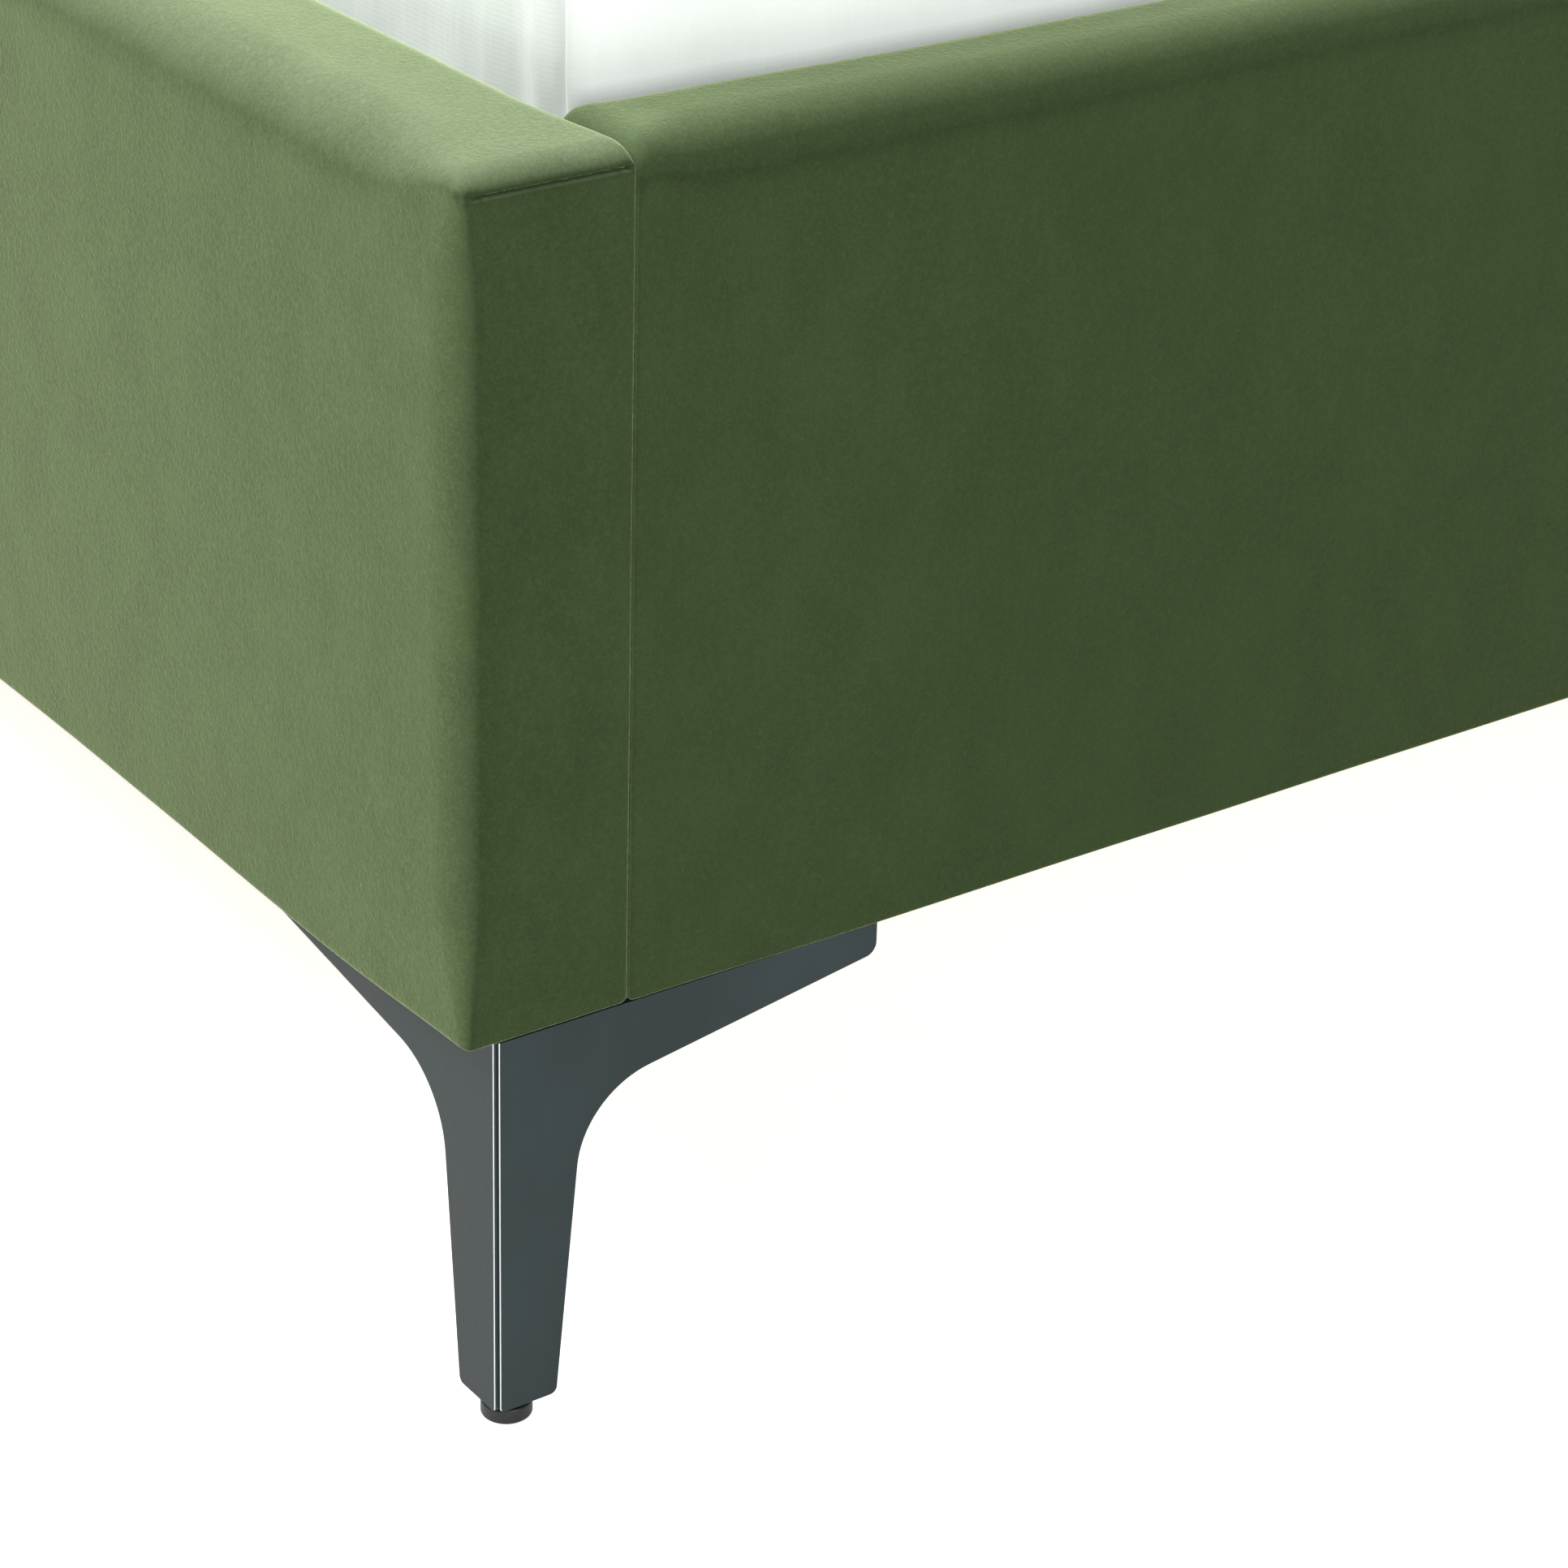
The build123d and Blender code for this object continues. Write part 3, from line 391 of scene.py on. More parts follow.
def planed_pine(axis):
    """Knotty pine, planed, with its grain along one axis: pale wood with warm late-wood lines a few
    millimetres apart, small brown knots, and fine pores drawn out along the grain."""
    material, tree, shader, place = start_material(f"planed_pine_grain_{'xyz'[axis]}", IOR=1.5)
    along = [1 / 28 if number == axis else 1 for number in range(3)]
    sweep = [1 / 9 if number == axis else 1 for number in range(3)]
    rings = add_node(tree, "ShaderNodeTexNoise", {
        "Vector": add_node(tree, "ShaderNodeVectorMath", {0: place, 1: along}, 0, operation="MULTIPLY"),
        "Scale": 1 / (14 * MM), "Detail": 2.0,
    }, "Fac")
    lines = add_node(tree, "ShaderNodeMath", {
        0: add_node(tree, "ShaderNodeMath", {0: rings, 1: 16.0}, 0, operation="MULTIPLY"), 1: 1.0,
    }, 0, operation="FRACT")
    late = add_node(tree, "ShaderNodeMath", {
        0: add_node(tree, "ShaderNodeMapRange", {
            "Value": lines, "From Min": 0.55, "From Max": 0.95,
        }, 0),
        1: add_node(tree, "ShaderNodeMapRange", {"Value": lines, "From Min": 1.0, "From Max": 0.95}, 0),
    }, 0, operation="MULTIPLY")
    pores = add_node(tree, "ShaderNodeTexNoise", {
        "Vector": add_node(tree, "ShaderNodeVectorMath", {0: place, 1: along}, 0, operation="MULTIPLY"),
        "Scale": 1 / (0.9 * MM), "Detail": 2.0,
    }, "Fac")
    cast = add_node(tree, "ShaderNodeTexNoise", {
        "Vector": add_node(tree, "ShaderNodeVectorMath", {0: place, 1: sweep}, 0, operation="MULTIPLY"),
        "Scale": 1 / (70 * MM), "Detail": 3.0,
    }, "Fac")
    wood = add_node(tree, "ShaderNodeMix", {
        0: add_node(tree, "ShaderNodeMapRange", {"Value": cast, "From Min": 0.3, "From Max": 0.7}, 0),
        6: linear("#dcc096"), 7: linear("#cda873"),
    }, 2, data_type="RGBA")
    wood = add_node(tree, "ShaderNodeMix", {
        0: add_node(tree, "ShaderNodeMath", {0: late, 1: 0.55}, 0, operation="MULTIPLY"), 6: wood,
        7: linear("#b07f47"),
    }, 2, data_type="RGBA")
    wood = add_node(tree, "ShaderNodeMix", {
        0: add_node(tree, "ShaderNodeMapRange", {
            "Value": pores, "From Min": 0.55, "From Max": 0.8, "To Min": 0.0, "To Max": 0.3,
        }, 0),
        6: wood, 7: linear("#a67a48"),
    }, 2, data_type="RGBA")
    squeeze = [0.55 if share < 1 else 1.0 for share in along]
    squeezed = add_node(tree, "ShaderNodeVectorMath", {0: place, 1: squeeze}, 0, operation="MULTIPLY")
    knots = add_node(tree, "ShaderNodeTexVoronoi", {"Vector": squeezed, "Scale": 1 / (170 * MM)})
    knot = add_node(tree, "ShaderNodeMapRange", {
        "Value": knots.outputs["Distance"], "From Min": 0.075, "From Max": 0.035,
    }, 0)
    wood = add_node(tree, "ShaderNodeMix", {
        0: add_node(tree, "ShaderNodeMath", {0: knot, 1: 0.85}, 0, operation="MULTIPLY"), 6: wood,
        7: linear("#6f4526"),
    }, 2, data_type="RGBA")
    tree.links.new(wood, shader.inputs["Base Color"])
    satin = add_node(tree, "ShaderNodeMapRange", {
        "Value": pores, "From Min": 0.3, "From Max": 0.7, "To Min": 0.5, "To Max": 0.64,
    }, 0)
    tree.links.new(satin, shader.inputs["Roughness"])
    relief = add_node(tree, "ShaderNodeBump", {
        "Height": add_node(tree, "ShaderNodeMath", {
            0: late, 1: add_node(tree, "ShaderNodeMath", {0: pores, 1: 0.5}, 0, operation="MULTIPLY"),
        }, 0, operation="ADD"),
        "Strength": 1.0, "Distance": 0.12 * MM,
    }, "Normal")
    tree.links.new(relief, shader.inputs["Normal"])
    return material


def rotary_cut_plywood():
    """Poplar plywood, rotary cut: a pale face with broad wandering figure."""
    material, tree, shader, place = start_material("rotary_cut_poplar_plywood", IOR=1.5)
    figure = add_node(tree, "ShaderNodeTexNoise", {
        "Vector": add_node(tree, "ShaderNodeVectorMath", {
            0: place, 1: (1 / 6, 1, 1),
        }, 0, operation="MULTIPLY"),
        "Scale": 1 / (45 * MM), "Detail": 4.0,
    }, "Fac")
    bands = add_node(tree, "ShaderNodeMath", {
        0: add_node(tree, "ShaderNodeMath", {0: figure, 1: 7.0}, 0, operation="MULTIPLY"), 1: 1.0,
    }, 0, operation="FRACT")
    pores = add_node(tree, "ShaderNodeTexNoise", {
        "Vector": add_node(tree, "ShaderNodeVectorMath", {
            0: place, 1: (1 / 14, 1, 1),
        }, 0, operation="MULTIPLY"),
        "Scale": 1 / (0.8 * MM), "Detail": 3.0,
    }, "Fac")
    wood = add_node(tree, "ShaderNodeMix", {
        0: add_node(tree, "ShaderNodeMapRange", {"Value": bands, "From Min": 0.1, "From Max": 0.9}, 0),
        6: linear("#d9c6a1"), 7: linear("#c6ab7c"),
    }, 2, data_type="RGBA")
    wood = add_node(tree, "ShaderNodeMix", {
        0: add_node(tree, "ShaderNodeMapRange", {
            "Value": pores, "From Min": 0.55, "From Max": 0.8, "To Min": 0.0, "To Max": 0.25,
        }, 0),
        6: wood, 7: linear("#9c7d50"),
    }, 2, data_type="RGBA")
    tree.links.new(wood, shader.inputs["Base Color"])
    satin = add_node(tree, "ShaderNodeMapRange", {
        "Value": pores, "From Min": 0.3, "From Max": 0.7, "To Min": 0.58, "To Max": 0.7,
    }, 0)
    tree.links.new(satin, shader.inputs["Roughness"])
    relief = add_node(tree, "ShaderNodeBump", {
        "Height": pores, "Strength": 1.0, "Distance": 0.08 * MM,
    }, "Normal")
    tree.links.new(relief, shader.inputs["Normal"])
    return material


def cut_foam():
    """Polyurethane foam, hot-wire cut: pale cream with open cells, 1 mm across, drawn 1.6 mm."""
    material, tree, shader, place = start_material("cut_polyurethane_foam", Roughness=0.95)
    cells = add_node(tree, "ShaderNodeTexVoronoi", {"Vector": place, "Scale": 1 / (1.6 * MM)})
    cast = add_node(tree, "ShaderNodeTexNoise", {
        "Vector": place, "Scale": 1 / (90 * MM), "Detail": 3.0,
    }, "Fac")
    tone = add_node(tree, "ShaderNodeMix", {
        0: cast, 6: linear("#ece3c6"), 7: linear("#dfd3ad"),
    }, 2, data_type="RGBA")
    tone = add_node(tree, "ShaderNodeMix", {
        0: add_node(tree, "ShaderNodeMapRange", {
            "Value": cells.outputs["Distance"], "From Min": 0.1, "From Max": 0.6, "To Min": 0.35,
            "To Max": 0.0,
        }, 0),
        6: tone, 7: linear("#b7a97f"),
    }, 2, data_type="RGBA")
    tree.links.new(tone, shader.inputs["Base Color"])
    relief = add_node(tree, "ShaderNodeBump", {
        "Height": cells.outputs["Distance"], "Strength": 1.0, "Distance": 0.5 * MM,
    }, "Normal")
    tree.links.new(relief, shader.inputs["Normal"])
    return material


def cotton_percale():
    """White cotton percale, washed and softened: a plain weave that the eye only just sees, and a faint
    creased bloom. The 0.2 mm threads are drawn 1.8 mm apart. It glows faintly, a painted light that
    brightens the white."""
    # Painted light: the sheet glows faintly, though it is no lamp.
    material, tree, shader, place = start_material(
        "cotton_percale_white", Roughness=0.85, Sheen_Weight=0.12, Sheen_Roughness=0.5,
        Subsurface_Weight=0.06, Subsurface_Scale=0.004,
        Emission_Color=linear("#eefaf4"), Emission_Strength=0.12,
    )
    spacing = {"Vector": place, "Scale": wave_pitch / (1.8 * MM), "Distortion": 0.6}
    warp = add_node(tree, "ShaderNodeTexWave", spacing, "Fac", bands_direction="X")
    fill = add_node(tree, "ShaderNodeTexWave", spacing, "Fac", bands_direction="Y")
    pick = add_node(tree, "ShaderNodeTexWave", spacing, "Fac", bands_direction="Z")
    weave = add_node(tree, "ShaderNodeMath", {
        0: add_node(tree, "ShaderNodeMath", {0: warp, 1: fill}, 0, operation="MULTIPLY"), 1: pick,
    }, 0, operation="ADD")
    slub = add_node(tree, "ShaderNodeTexNoise", {
        "Vector": add_node(tree, "ShaderNodeVectorMath", {
            0: place, 1: (1, 1, 1 / 5),
        }, 0, operation="MULTIPLY"),
        "Scale": 1 / (4 * MM), "Detail": 3.0,
    }, "Fac")
    crease = add_node(tree, "ShaderNodeTexNoise", {
        "Vector": add_node(tree, "ShaderNodeVectorMath", {
            0: place, 1: (1, 1, 1 / 3),
        }, 0, operation="MULTIPLY"),
        "Scale": 1 / (60 * MM), "Detail": 4.0, "Roughness": 0.6,
    }, "Fac")
    tone = add_node(tree, "ShaderNodeMix", {
        0: add_node(tree, "ShaderNodeMapRange", {
            "Value": crease, "From Min": 0.35, "From Max": 0.7,
        }, 0),
        6: linear("#fbfdfb"), 7: linear("#f0f5f0"),
    }, 2, data_type="RGBA")
    tone = add_node(tree, "ShaderNodeMix", {
        0: add_node(tree, "ShaderNodeMapRange", {
            "Value": slub, "From Min": 0.55, "From Max": 0.8, "To Min": 0.0, "To Max": 0.25,
        }, 0),
        6: tone, 7: linear("#e6ece6"),
    }, 2, data_type="RGBA")
    tree.links.new(tone, shader.inputs["Base Color"])
    threads = add_node(tree, "ShaderNodeBump", {
        "Height": weave, "Strength": 1.0, "Distance": 0.02 * MM,
    }, "Normal")
    relief = add_node(tree, "ShaderNodeBump", {
        "Height": crease, "Strength": 1.0, "Distance": 2.6 * MM, "Normal": threads,
    }, "Normal")
    tree.links.new(relief, shader.inputs["Normal"])
    return material


def knitted_ticking():
    """White polyester ticking, double-jersey knit: soft courses 8 mm apart, quilted in 120 mm waves."""
    material, tree, shader, place = start_material("knitted_ticking_white", Roughness=0.8, Sheen_Weight=0.2)
    rib = add_node(tree, "ShaderNodeTexWave", {
        "Vector": place, "Scale": wave_pitch / (8 * MM), "Distortion": 1.0,
    }, "Fac", bands_direction="Y")
    quilt = add_node(tree, "ShaderNodeTexWave", {
        "Vector": place, "Scale": wave_pitch / (120 * MM), "Distortion": 3.0,
    }, "Fac", bands_direction="X")
    stitch = add_node(tree, "ShaderNodeTexNoise", {
        "Vector": place, "Scale": 1 / (1.4 * MM), "Detail": 3.0,
    }, "Fac")
    tone = add_node(tree, "ShaderNodeMix", {
        0: rib, 6: linear("#eef0ee"), 7: linear("#dcdfde"),
    }, 2, data_type="RGBA")
    tone = add_node(tree, "ShaderNodeMix", {
        0: add_node(tree, "ShaderNodeMapRange", {
            "Value": quilt, "From Min": 0.1, "From Max": 0.0, "To Min": 0.0, "To Max": 0.4,
        }, 0),
        6: tone, 7: linear("#b9bec0"),
    }, 2, data_type="RGBA")
    tree.links.new(tone, shader.inputs["Base Color"])
    courses = add_node(tree, "ShaderNodeBump", {
        "Height": add_node(tree, "ShaderNodeMath", {
            0: rib, 1: add_node(tree, "ShaderNodeMath", {0: stitch, 1: 0.4}, 0, operation="MULTIPLY"),
        }, 0, operation="ADD"),
        "Strength": 1.0, "Distance": 0.3 * MM,
    }, "Normal")
    relief = add_node(tree, "ShaderNodeBump", {
        "Height": quilt, "Strength": 1.0, "Distance": 4 * MM, "Normal": courses,
    }, "Normal")
    tree.links.new(relief, shader.inputs["Normal"])
    return material


def spunbond_dust_cloth():
    """Black polypropylene spunbond: a thin matt cloth, point bonded in a 2 mm grid drawn 3 mm wide."""
    material, tree, shader, place = start_material(
        "spunbond_dust_cloth_black", Roughness=0.8, Sheen_Weight=0.1,
    )
    fibres = add_node(tree, "ShaderNodeTexNoise", {
        "Vector": add_node(tree, "ShaderNodeVectorMath", {
            0: place, 1: (1 / 3, 1, 1),
        }, 0, operation="MULTIPLY"),
        "Scale": 1 / (1.2 * MM), "Detail": 4.0,
    }, "Fac")
    cloud = add_node(tree, "ShaderNodeTexNoise", {
        "Vector": place, "Scale": 1 / (22 * MM), "Detail": 4.0,
    }, "Fac")
    grid = {"Vector": place, "Scale": 1 / (3 * MM), "Randomness": 0.0}
    dots = add_node(tree, "ShaderNodeTexVoronoi", grid)
    bond = add_node(tree, "ShaderNodeMapRange", {
        "Value": dots.outputs["Distance"], "From Min": 0.16, "From Max": 0.3,
    }, 0)
    tone = add_node(tree, "ShaderNodeMix", {
        0: add_node(tree, "ShaderNodeMapRange", {"Value": cloud, "From Min": 0.3, "From Max": 0.7}, 0),
        6: linear("#1b1c1e"), 7: linear("#26282a"),
    }, 2, data_type="RGBA")
    tone = add_node(tree, "ShaderNodeMix", {
        0: add_node(tree, "ShaderNodeMapRange", {
            "Value": fibres, "From Min": 0.55, "From Max": 0.8, "To Min": 0.0, "To Max": 0.5,
        }, 0),
        6: tone, 7: linear("#3b3d40"),
    }, 2, data_type="RGBA")
    tone = add_node(tree, "ShaderNodeMix", {
        0: add_node(tree, "ShaderNodeMapRange", {
            "Value": bond, "From Min": 0.0, "From Max": 1.0, "To Min": 0.5, "To Max": 0.0,
        }, 0),
        6: tone, 7: linear("#0f1011"),
    }, 2, data_type="RGBA")
    tree.links.new(tone, shader.inputs["Base Color"])
    relief = add_node(tree, "ShaderNodeBump", {
        "Height": add_node(tree, "ShaderNodeMath", {0: bond, 1: fibres}, 0, operation="ADD"),
        "Strength": 1.0, "Distance": 0.15 * MM,
    }, "Normal")
    tree.links.new(relief, shader.inputs["Normal"])
    return material


# ---------------------------------------------------------------- shapes
def ease(value):
    """A smooth step from 0 to 1."""
    value = np.clip(value, 0, 1)
    return value * value * (3 - 2 * value)


def rounding(distance, reach, depth):
    """How far a surface has drawn in by a depth at its very end, as a quarter of an ellipse."""
    left = np.clip(1 - distance / reach, 0, 1)
    return depth * (1 - math.sqrt(1 - left * left))


def ripples(points, wavelength, seed, count=9):
    """Gentle swells about that far apart, between -1 and 1."""
    chance = np.random.default_rng(seed)
    directions = chance.normal(size=(count, 3))
    directions /= np.linalg.norm(directions, axis=1)[:, None]
    lengths = wavelength * chance.uniform(0.7, 1.5, count)
    phases = chance.uniform(0, 2 * math.pi, count)
    waves = np.sin(points @ (directions / lengths[:, None]).T * 2 * math.pi + phases)
    return waves.sum(1) / math.sqrt(count) / 1.5


def line_distance(points, line):
    """How far each point is from a line of points, and how far along the line that is."""
    best = np.full(len(points), np.inf)
    along = np.zeros(len(points))
    done = 0.0
    for start, end in zip(line, line[1:]):
        run = end - start
        length = np.linalg.norm(run)
        share = np.clip((points - start) @ run / length ** 2, 0, 1)
        away = np.linalg.norm(points - start - share[:, None] * run, axis=1)
        nearer = away < best
        best[nearer] = away[nearer]
        along[nearer] = (done + share * length)[nearer]
        done += length
    return best, along


def sewn(points, line, depth, half, pucker=5 * MM):
    """How far a sewn seam draws each point in. The pull is strongest at the stitches."""
    away, along = line_distance(points, line)
    pull = 0.78 + 0.22 * np.cos(2 * math.pi * along / pucker)
    return depth * pull * np.exp(-((away / half) ** 2))


def seam_shadow_weight(points, line):
    """How much painted seam shade each point gets, from 0 to 1: most on the seam's line."""
    away, _ = line_distance(points, line)
    return np.exp(-((away / seam_shadow_width) ** 2))


def graded(length, stops, spacings):
    """Shares of a length, with a point at each stop and about one spacing between the rest."""
    marks = [0, *stops, length]
    runs = zip(marks, marks[1:], spacings)
    parts = [np.linspace(a, b, max(1, round((b - a) / s)), endpoint=False) for a, b, s in runs]
    return np.concatenate(parts) / length


def section_ring(front, rear, low, high, rolls, shares):
    """A padded panel's section as depth and height, from the rear of its underside to the front, up the
    front, over the top and down the rear."""
    front_low, front_top, rear_top, rear_low = rolls
    under, face, top, back = shares
    roll_steps = 14

    def line(start, end, share):
        return np.array(start) + (np.array(end) - np.array(start)) * share[:, None]

    def roll(centre, radius, first, last):
        turn = np.radians(np.linspace(first, last, roll_steps, endpoint=False))
        return np.array(centre) + radius * np.stack([np.cos(turn), np.sin(turn)], 1)

    return np.concatenate([
        line((rear - rear_low, low), (front + front_low, low), under),
        roll((front + front_low, low + front_low), front_low, 270, 180),
        line((front, low + front_low), (front, high - front_top), face),
        roll((front + front_top, high - front_top), front_top, 180, 90),
        line((front + front_top, high), (rear - rear_top, high), top),
        roll((rear - rear_top, high - rear_top), rear_top, 90, 0),
        line((rear, high - rear_top), (rear, low + rear_low), back),
        roll((rear - rear_low, low + rear_low), rear_low, 0, -90),
    ])


def end_distances(reach):
    """Distances from a panel's end that follow its rounding closely."""
    turn = np.radians(np.linspace(90, 0, 13))
    near = reach * (1 - np.sin(turn))
    return np.concatenate([near, reach + np.cumsum([2, 3, 4, 5, 6, 7, 8, 9, 10]) * MM])


def stations_between(low, high, middle):
    """Places along a panel: close together at both ends, and the given ones between."""
    ends = end_distances(seam_reach)
    inner = [place for place in middle if low + ends[-1] + 2 * MM < place < high - ends[-1] - 2 * MM]
    return np.concatenate([low + ends, inner, (high - ends)[::-1]])


def closing_rings(rings, along, outward, bulge, reach):
    """The rings across a panel's end, drawn in from its edge by each reach in mm, with a slight crown."""
    ring = rings[0] if outward < 0 else rings[-1]
    place = along[0] if outward < 0 else along[-1]
    low, high = ring.min(0), ring.max(0)
    half = (high[0] - low[0]) / 2
    spine = np.stack([
        np.full(len(ring), (low[0] + high[0]) / 2),
        np.clip(ring[:, 1], low[1] + half, high[1] - half),
    ], 1)
    steps = np.array(reach) * MM / half
    steps = steps[steps < 0.93]
    drawn = [ring + (spine - ring) * step for step in steps]
    places = [np.full(len(ring), place + outward * bulge * (1 - (1 - step) ** 2)) for step in steps]
    return drawn, places


def ring_faces(ring_count, point_count, closed):
    """Quads between neighbouring rings, and a face across each end if the panel is closed."""
    ring_number = np.arange(ring_count - 1)[:, None]
    point_number = np.arange(point_count)[None]
    a = ring_number * point_count + point_number
    b = ring_number * point_count + (point_number + 1) % point_count
    quads = np.stack([a, b, b + point_count, a + point_count], -1).reshape(-1, 4).tolist()
    if closed:
        last = (ring_count - 1) * point_count
        quads.append(list(range(point_count))[::-1])
        quads.append(list(range(last, last + point_count)))
    return quads


def outward_faces(points, faces):
    """The faces, turned over if they face into the panel."""
    sample = [face for face in faces if len(face) == 4][::7]
    corners = points[np.array(sample)]
    normals = np.cross(corners[:, 1] - corners[:, 0], corners[:, 3] - corners[:, 0])
    middles = corners.mean(1)
    axis_free = middles - middles.mean(0)
    widest = np.argmax(np.ptp(points, axis=0))
    axis_free[:, widest] = 0
    if (normals * axis_free).sum() < 0:
        return [face[::-1] for face in faces]
    return faces


def new_piece(name, points, faces, material, body):
    """A piece of the bed, smooth shaded, that rides on a body of the frame."""
    mesh = bpy.data.meshes.new(name)
    mesh.from_pydata(np.asarray(points).tolist(), [], faces)
    mesh.validate()
    mesh.polygons.foreach_set("use_smooth", np.ones(len(mesh.polygons), bool))
    mesh.materials.append(material)
    piece = bpy.data.objects.new(name, mesh)
    bpy.context.scene.collection.objects.link(piece)
    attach(piece, body)
    return piece


def surface_normals(points, faces):
    """The outward direction at each point."""
    scratch = bpy.data.meshes.new("scratch")
    scratch.from_pydata(points.tolist(), [], faces)
    normals = np.zeros(len(points) * 3, np.float32)
    scratch.vertex_normals.foreach_get("vector", normals)
    bpy.data.meshes.remove(scratch)
    return normals.reshape(-1, 3).astype(float)


def thicken(piece, thickness):
    """Gives a sheet its thickness, inwards from the surface it was drawn on."""
    solid = piece.modifiers.new("cloth_thickness", "SOLIDIFY")
    solid.thickness = thickness
    solid.offset = -1
    solid.use_even_offset = False
    return piece


def drop_scraps(piece):
    """Deletes every loose part of a piece's mesh but the largest."""
    bm = bmesh.new()
    bm.from_mesh(piece.data)
    left = set(bm.verts)
    parts = []
    while left:
        reached = [left.pop()]
        part = list(reached)
        while reached:
            vertex = reached.pop()
            fresh = [edge.other_vert(vertex) for edge in vertex.link_edges]
            fresh = [other for other in fresh if other in left]
            left.difference_update(fresh)
            reached.extend(fresh)
            part.extend(fresh)
        parts.append(part)
    largest = max(parts, key=len)
    scraps = [vertex for part in parts if part is not largest for vertex in part]
    bmesh.ops.delete(bm, geom=scraps, context="VERTS")
    bm.to_mesh(piece.data)
    bm.free()


# ---------------------------------------------------------------- velvet and foam over a panel
def cover_panel(name, rings, along, place, closed, sculpt, is_open, core, cloth):
    """Sews one velvet cover and cuts the foam under it.

    rings and along are the sections and where they stand, and place turns them into points. sculpt says
    how far each point is drawn in and how much painted seam shade it gets. is_open says which places stay
    bare.
    core is the box of timber that the foam is glued to.
    """
    depth_height = list(rings)
    stations = [np.full(len(rings[0]), value) for value in along]
    reach = closed_end_rings if closed else open_end_rings
    crown = end_crown if closed else 0
    for outward in (-1, 1):
        drawn, places = closing_rings(rings, along, outward, crown, reach)
        if outward < 0:
            depth_height = drawn[::-1] + depth_height
            stations = places[::-1] + stations
        else:
            depth_height = depth_height + drawn
            stations = stations + places
    grid = np.array(depth_height)
    point_count = grid.shape[1]
    points = place(np.array(stations), grid[:, :, 0], grid[:, :, 1]).reshape(-1, 3)
    faces = outward_faces(points, ring_faces(len(grid), point_count, closed))
    normals = surface_normals(points, faces)
    pull, painted_seam_shadow = sculpt(points, normals)
    points = points - normals * pull[:, None]
    normals = surface_normals(points, faces)

    corner_points = [points[face].mean(0) for face in faces]
    bare = is_open(np.array(corner_points))
    kept = [face for face, gone in zip(faces, bare) if not gone]
    velvet = new_piece(f"{name}_velvet", points, kept, materials[cloth], "frame")
    # The painted seam shade is kept on each point of the velvet.
    seam_shade = velvet.data.attributes.new("painted_seam_shadow", "FLOAT", "POINT")
    seam_shade.data.foreach_set("value", painted_seam_shadow.astype(np.float32))
    drop_scraps(velvet)
    thicken(velvet, cover_thickness)
    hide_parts(f"{name}_cover")

    # The foam lies between the cover and the timber, wherever there is room for it.
    outer = points - normals * foam_gap
    timber = np.clip(outer, core[0], core[1])
    room = np.linalg.norm(outer - timber, axis=1)
    inner = timber + (outer - timber) * glue_line
    padded = [face for face in faces if len(face) == 4 and room[face].min() > foam_least]
    count = len(points)
    edges = {}
    for face in padded:
        for a, b in zip(face, face[1:] + face[:1]):
            edges[(a, b)] = edges.get((a, b), 0) + 1
    rim = [[a, a + count, b + count, b] for a, b in edges if (b, a) not in edges]
    under = [[corner + count for corner in face[::-1]] for face in padded]
    padding = new_piece(f"{name}_padding", np.concatenate([outer, inner]), padded + under + rim,
                        materials["foam"], "frame")
    drop_scraps(padding)
    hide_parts(f"{name}_foam")
    return velvet


def end_panel_shape(distance, depth, height):
    """The section of a footboard or headboard at a distance from its end, before its corner is rounded."""
    front = 0
    rear = depth - rounding(distance, rear_edge_depth, rear_edge_depth)
    low = rounding(distance, hem_edge_reach, hem_edge_depth)
    high = height - rounding(distance + end_roll_cut, end_roll_reach, end_roll_depth)
    opened = ease(distance / corner_reach)
    front_top = end_front_roll + (front_roll - end_front_roll) * opened
    rear_top = end_rear_roll + (rear_roll - end_rear_roll) * opened
    rolls = (hem_roll, front_top, rear_top, hem_roll)
    return front, rear, low, high, rolls


def round_corner(ring, distance, height, tight_to):
    """Rounds the upright corner: tight up to a height and again at the seam, and softer between."""
    loose = ease((ring[:, 1] - tight_to) / (60 * MM)) * ease((height - ring[:, 1]) / (45 * MM))
    radius = tight_corner_roll + (corner_roll - tight_corner_roll) * loose
    left = np.clip(1 - distance / (radius * corner_stretch), 0, 1)
    drawn = radius * (1 - np.sqrt(1 - left * left))
    share = np.clip(1 - ring[:, 0] / (30 * MM), 0, 1)
    return ring + np.stack([drawn * share, np.zeros(len(ring))], 1)


def end_panel_ring(x, depth, height, shares, tight_to):
    """The finished section of a footboard or headboard at a place across the bed."""
    distance = half_width - abs(x)
    ring = section_ring(*end_panel_shape(distance, depth, height), shares)
    return round_corner(ring, distance, height, tight_to)


def end_panel_shares(depth, height):
    """Where the points of such a section lie: close together near the top, where it is sewn."""
    under_run = depth - 2 * hem_roll
    hem = hem_width - hem_roll
    under = graded(under_run, [hem, under_run - hem], [3 * MM, 9 * MM, 3 * MM])
    face_run = height - front_roll - hem_roll
    face = graded(face_run, [18 * MM, face_run - 20 * MM], [2.5 * MM, 8 * MM, 2 * MM])
    top = graded(depth - front_roll - rear_roll, [], [1.8 * MM])
    back = graded(height - rear_roll - hem_roll, [12 * MM, 60 * MM], [2 * MM, 6 * MM, 14 * MM])
    return under, face, top, back


def end_seams(front, rear, top, side):
    """The line of the seam at the top of a panel's end: round the front corner, then straight back."""
    seam_drop = rounding(end_roll_cut, end_roll_reach, end_roll_depth)
    height = top - seam_drop - seam_half_width
    turn = np.radians(np.linspace(20, 90, 6))
    x = half_width - seam_corner + seam_corner * np.sin(turn)
    y = front + seam_corner - seam_corner * np.cos(turn)
    corner_line = [(side * a, b, height) for a, b in zip(x, y)]
    return np.array([*corner_line, (side * half_width, rear, height)])


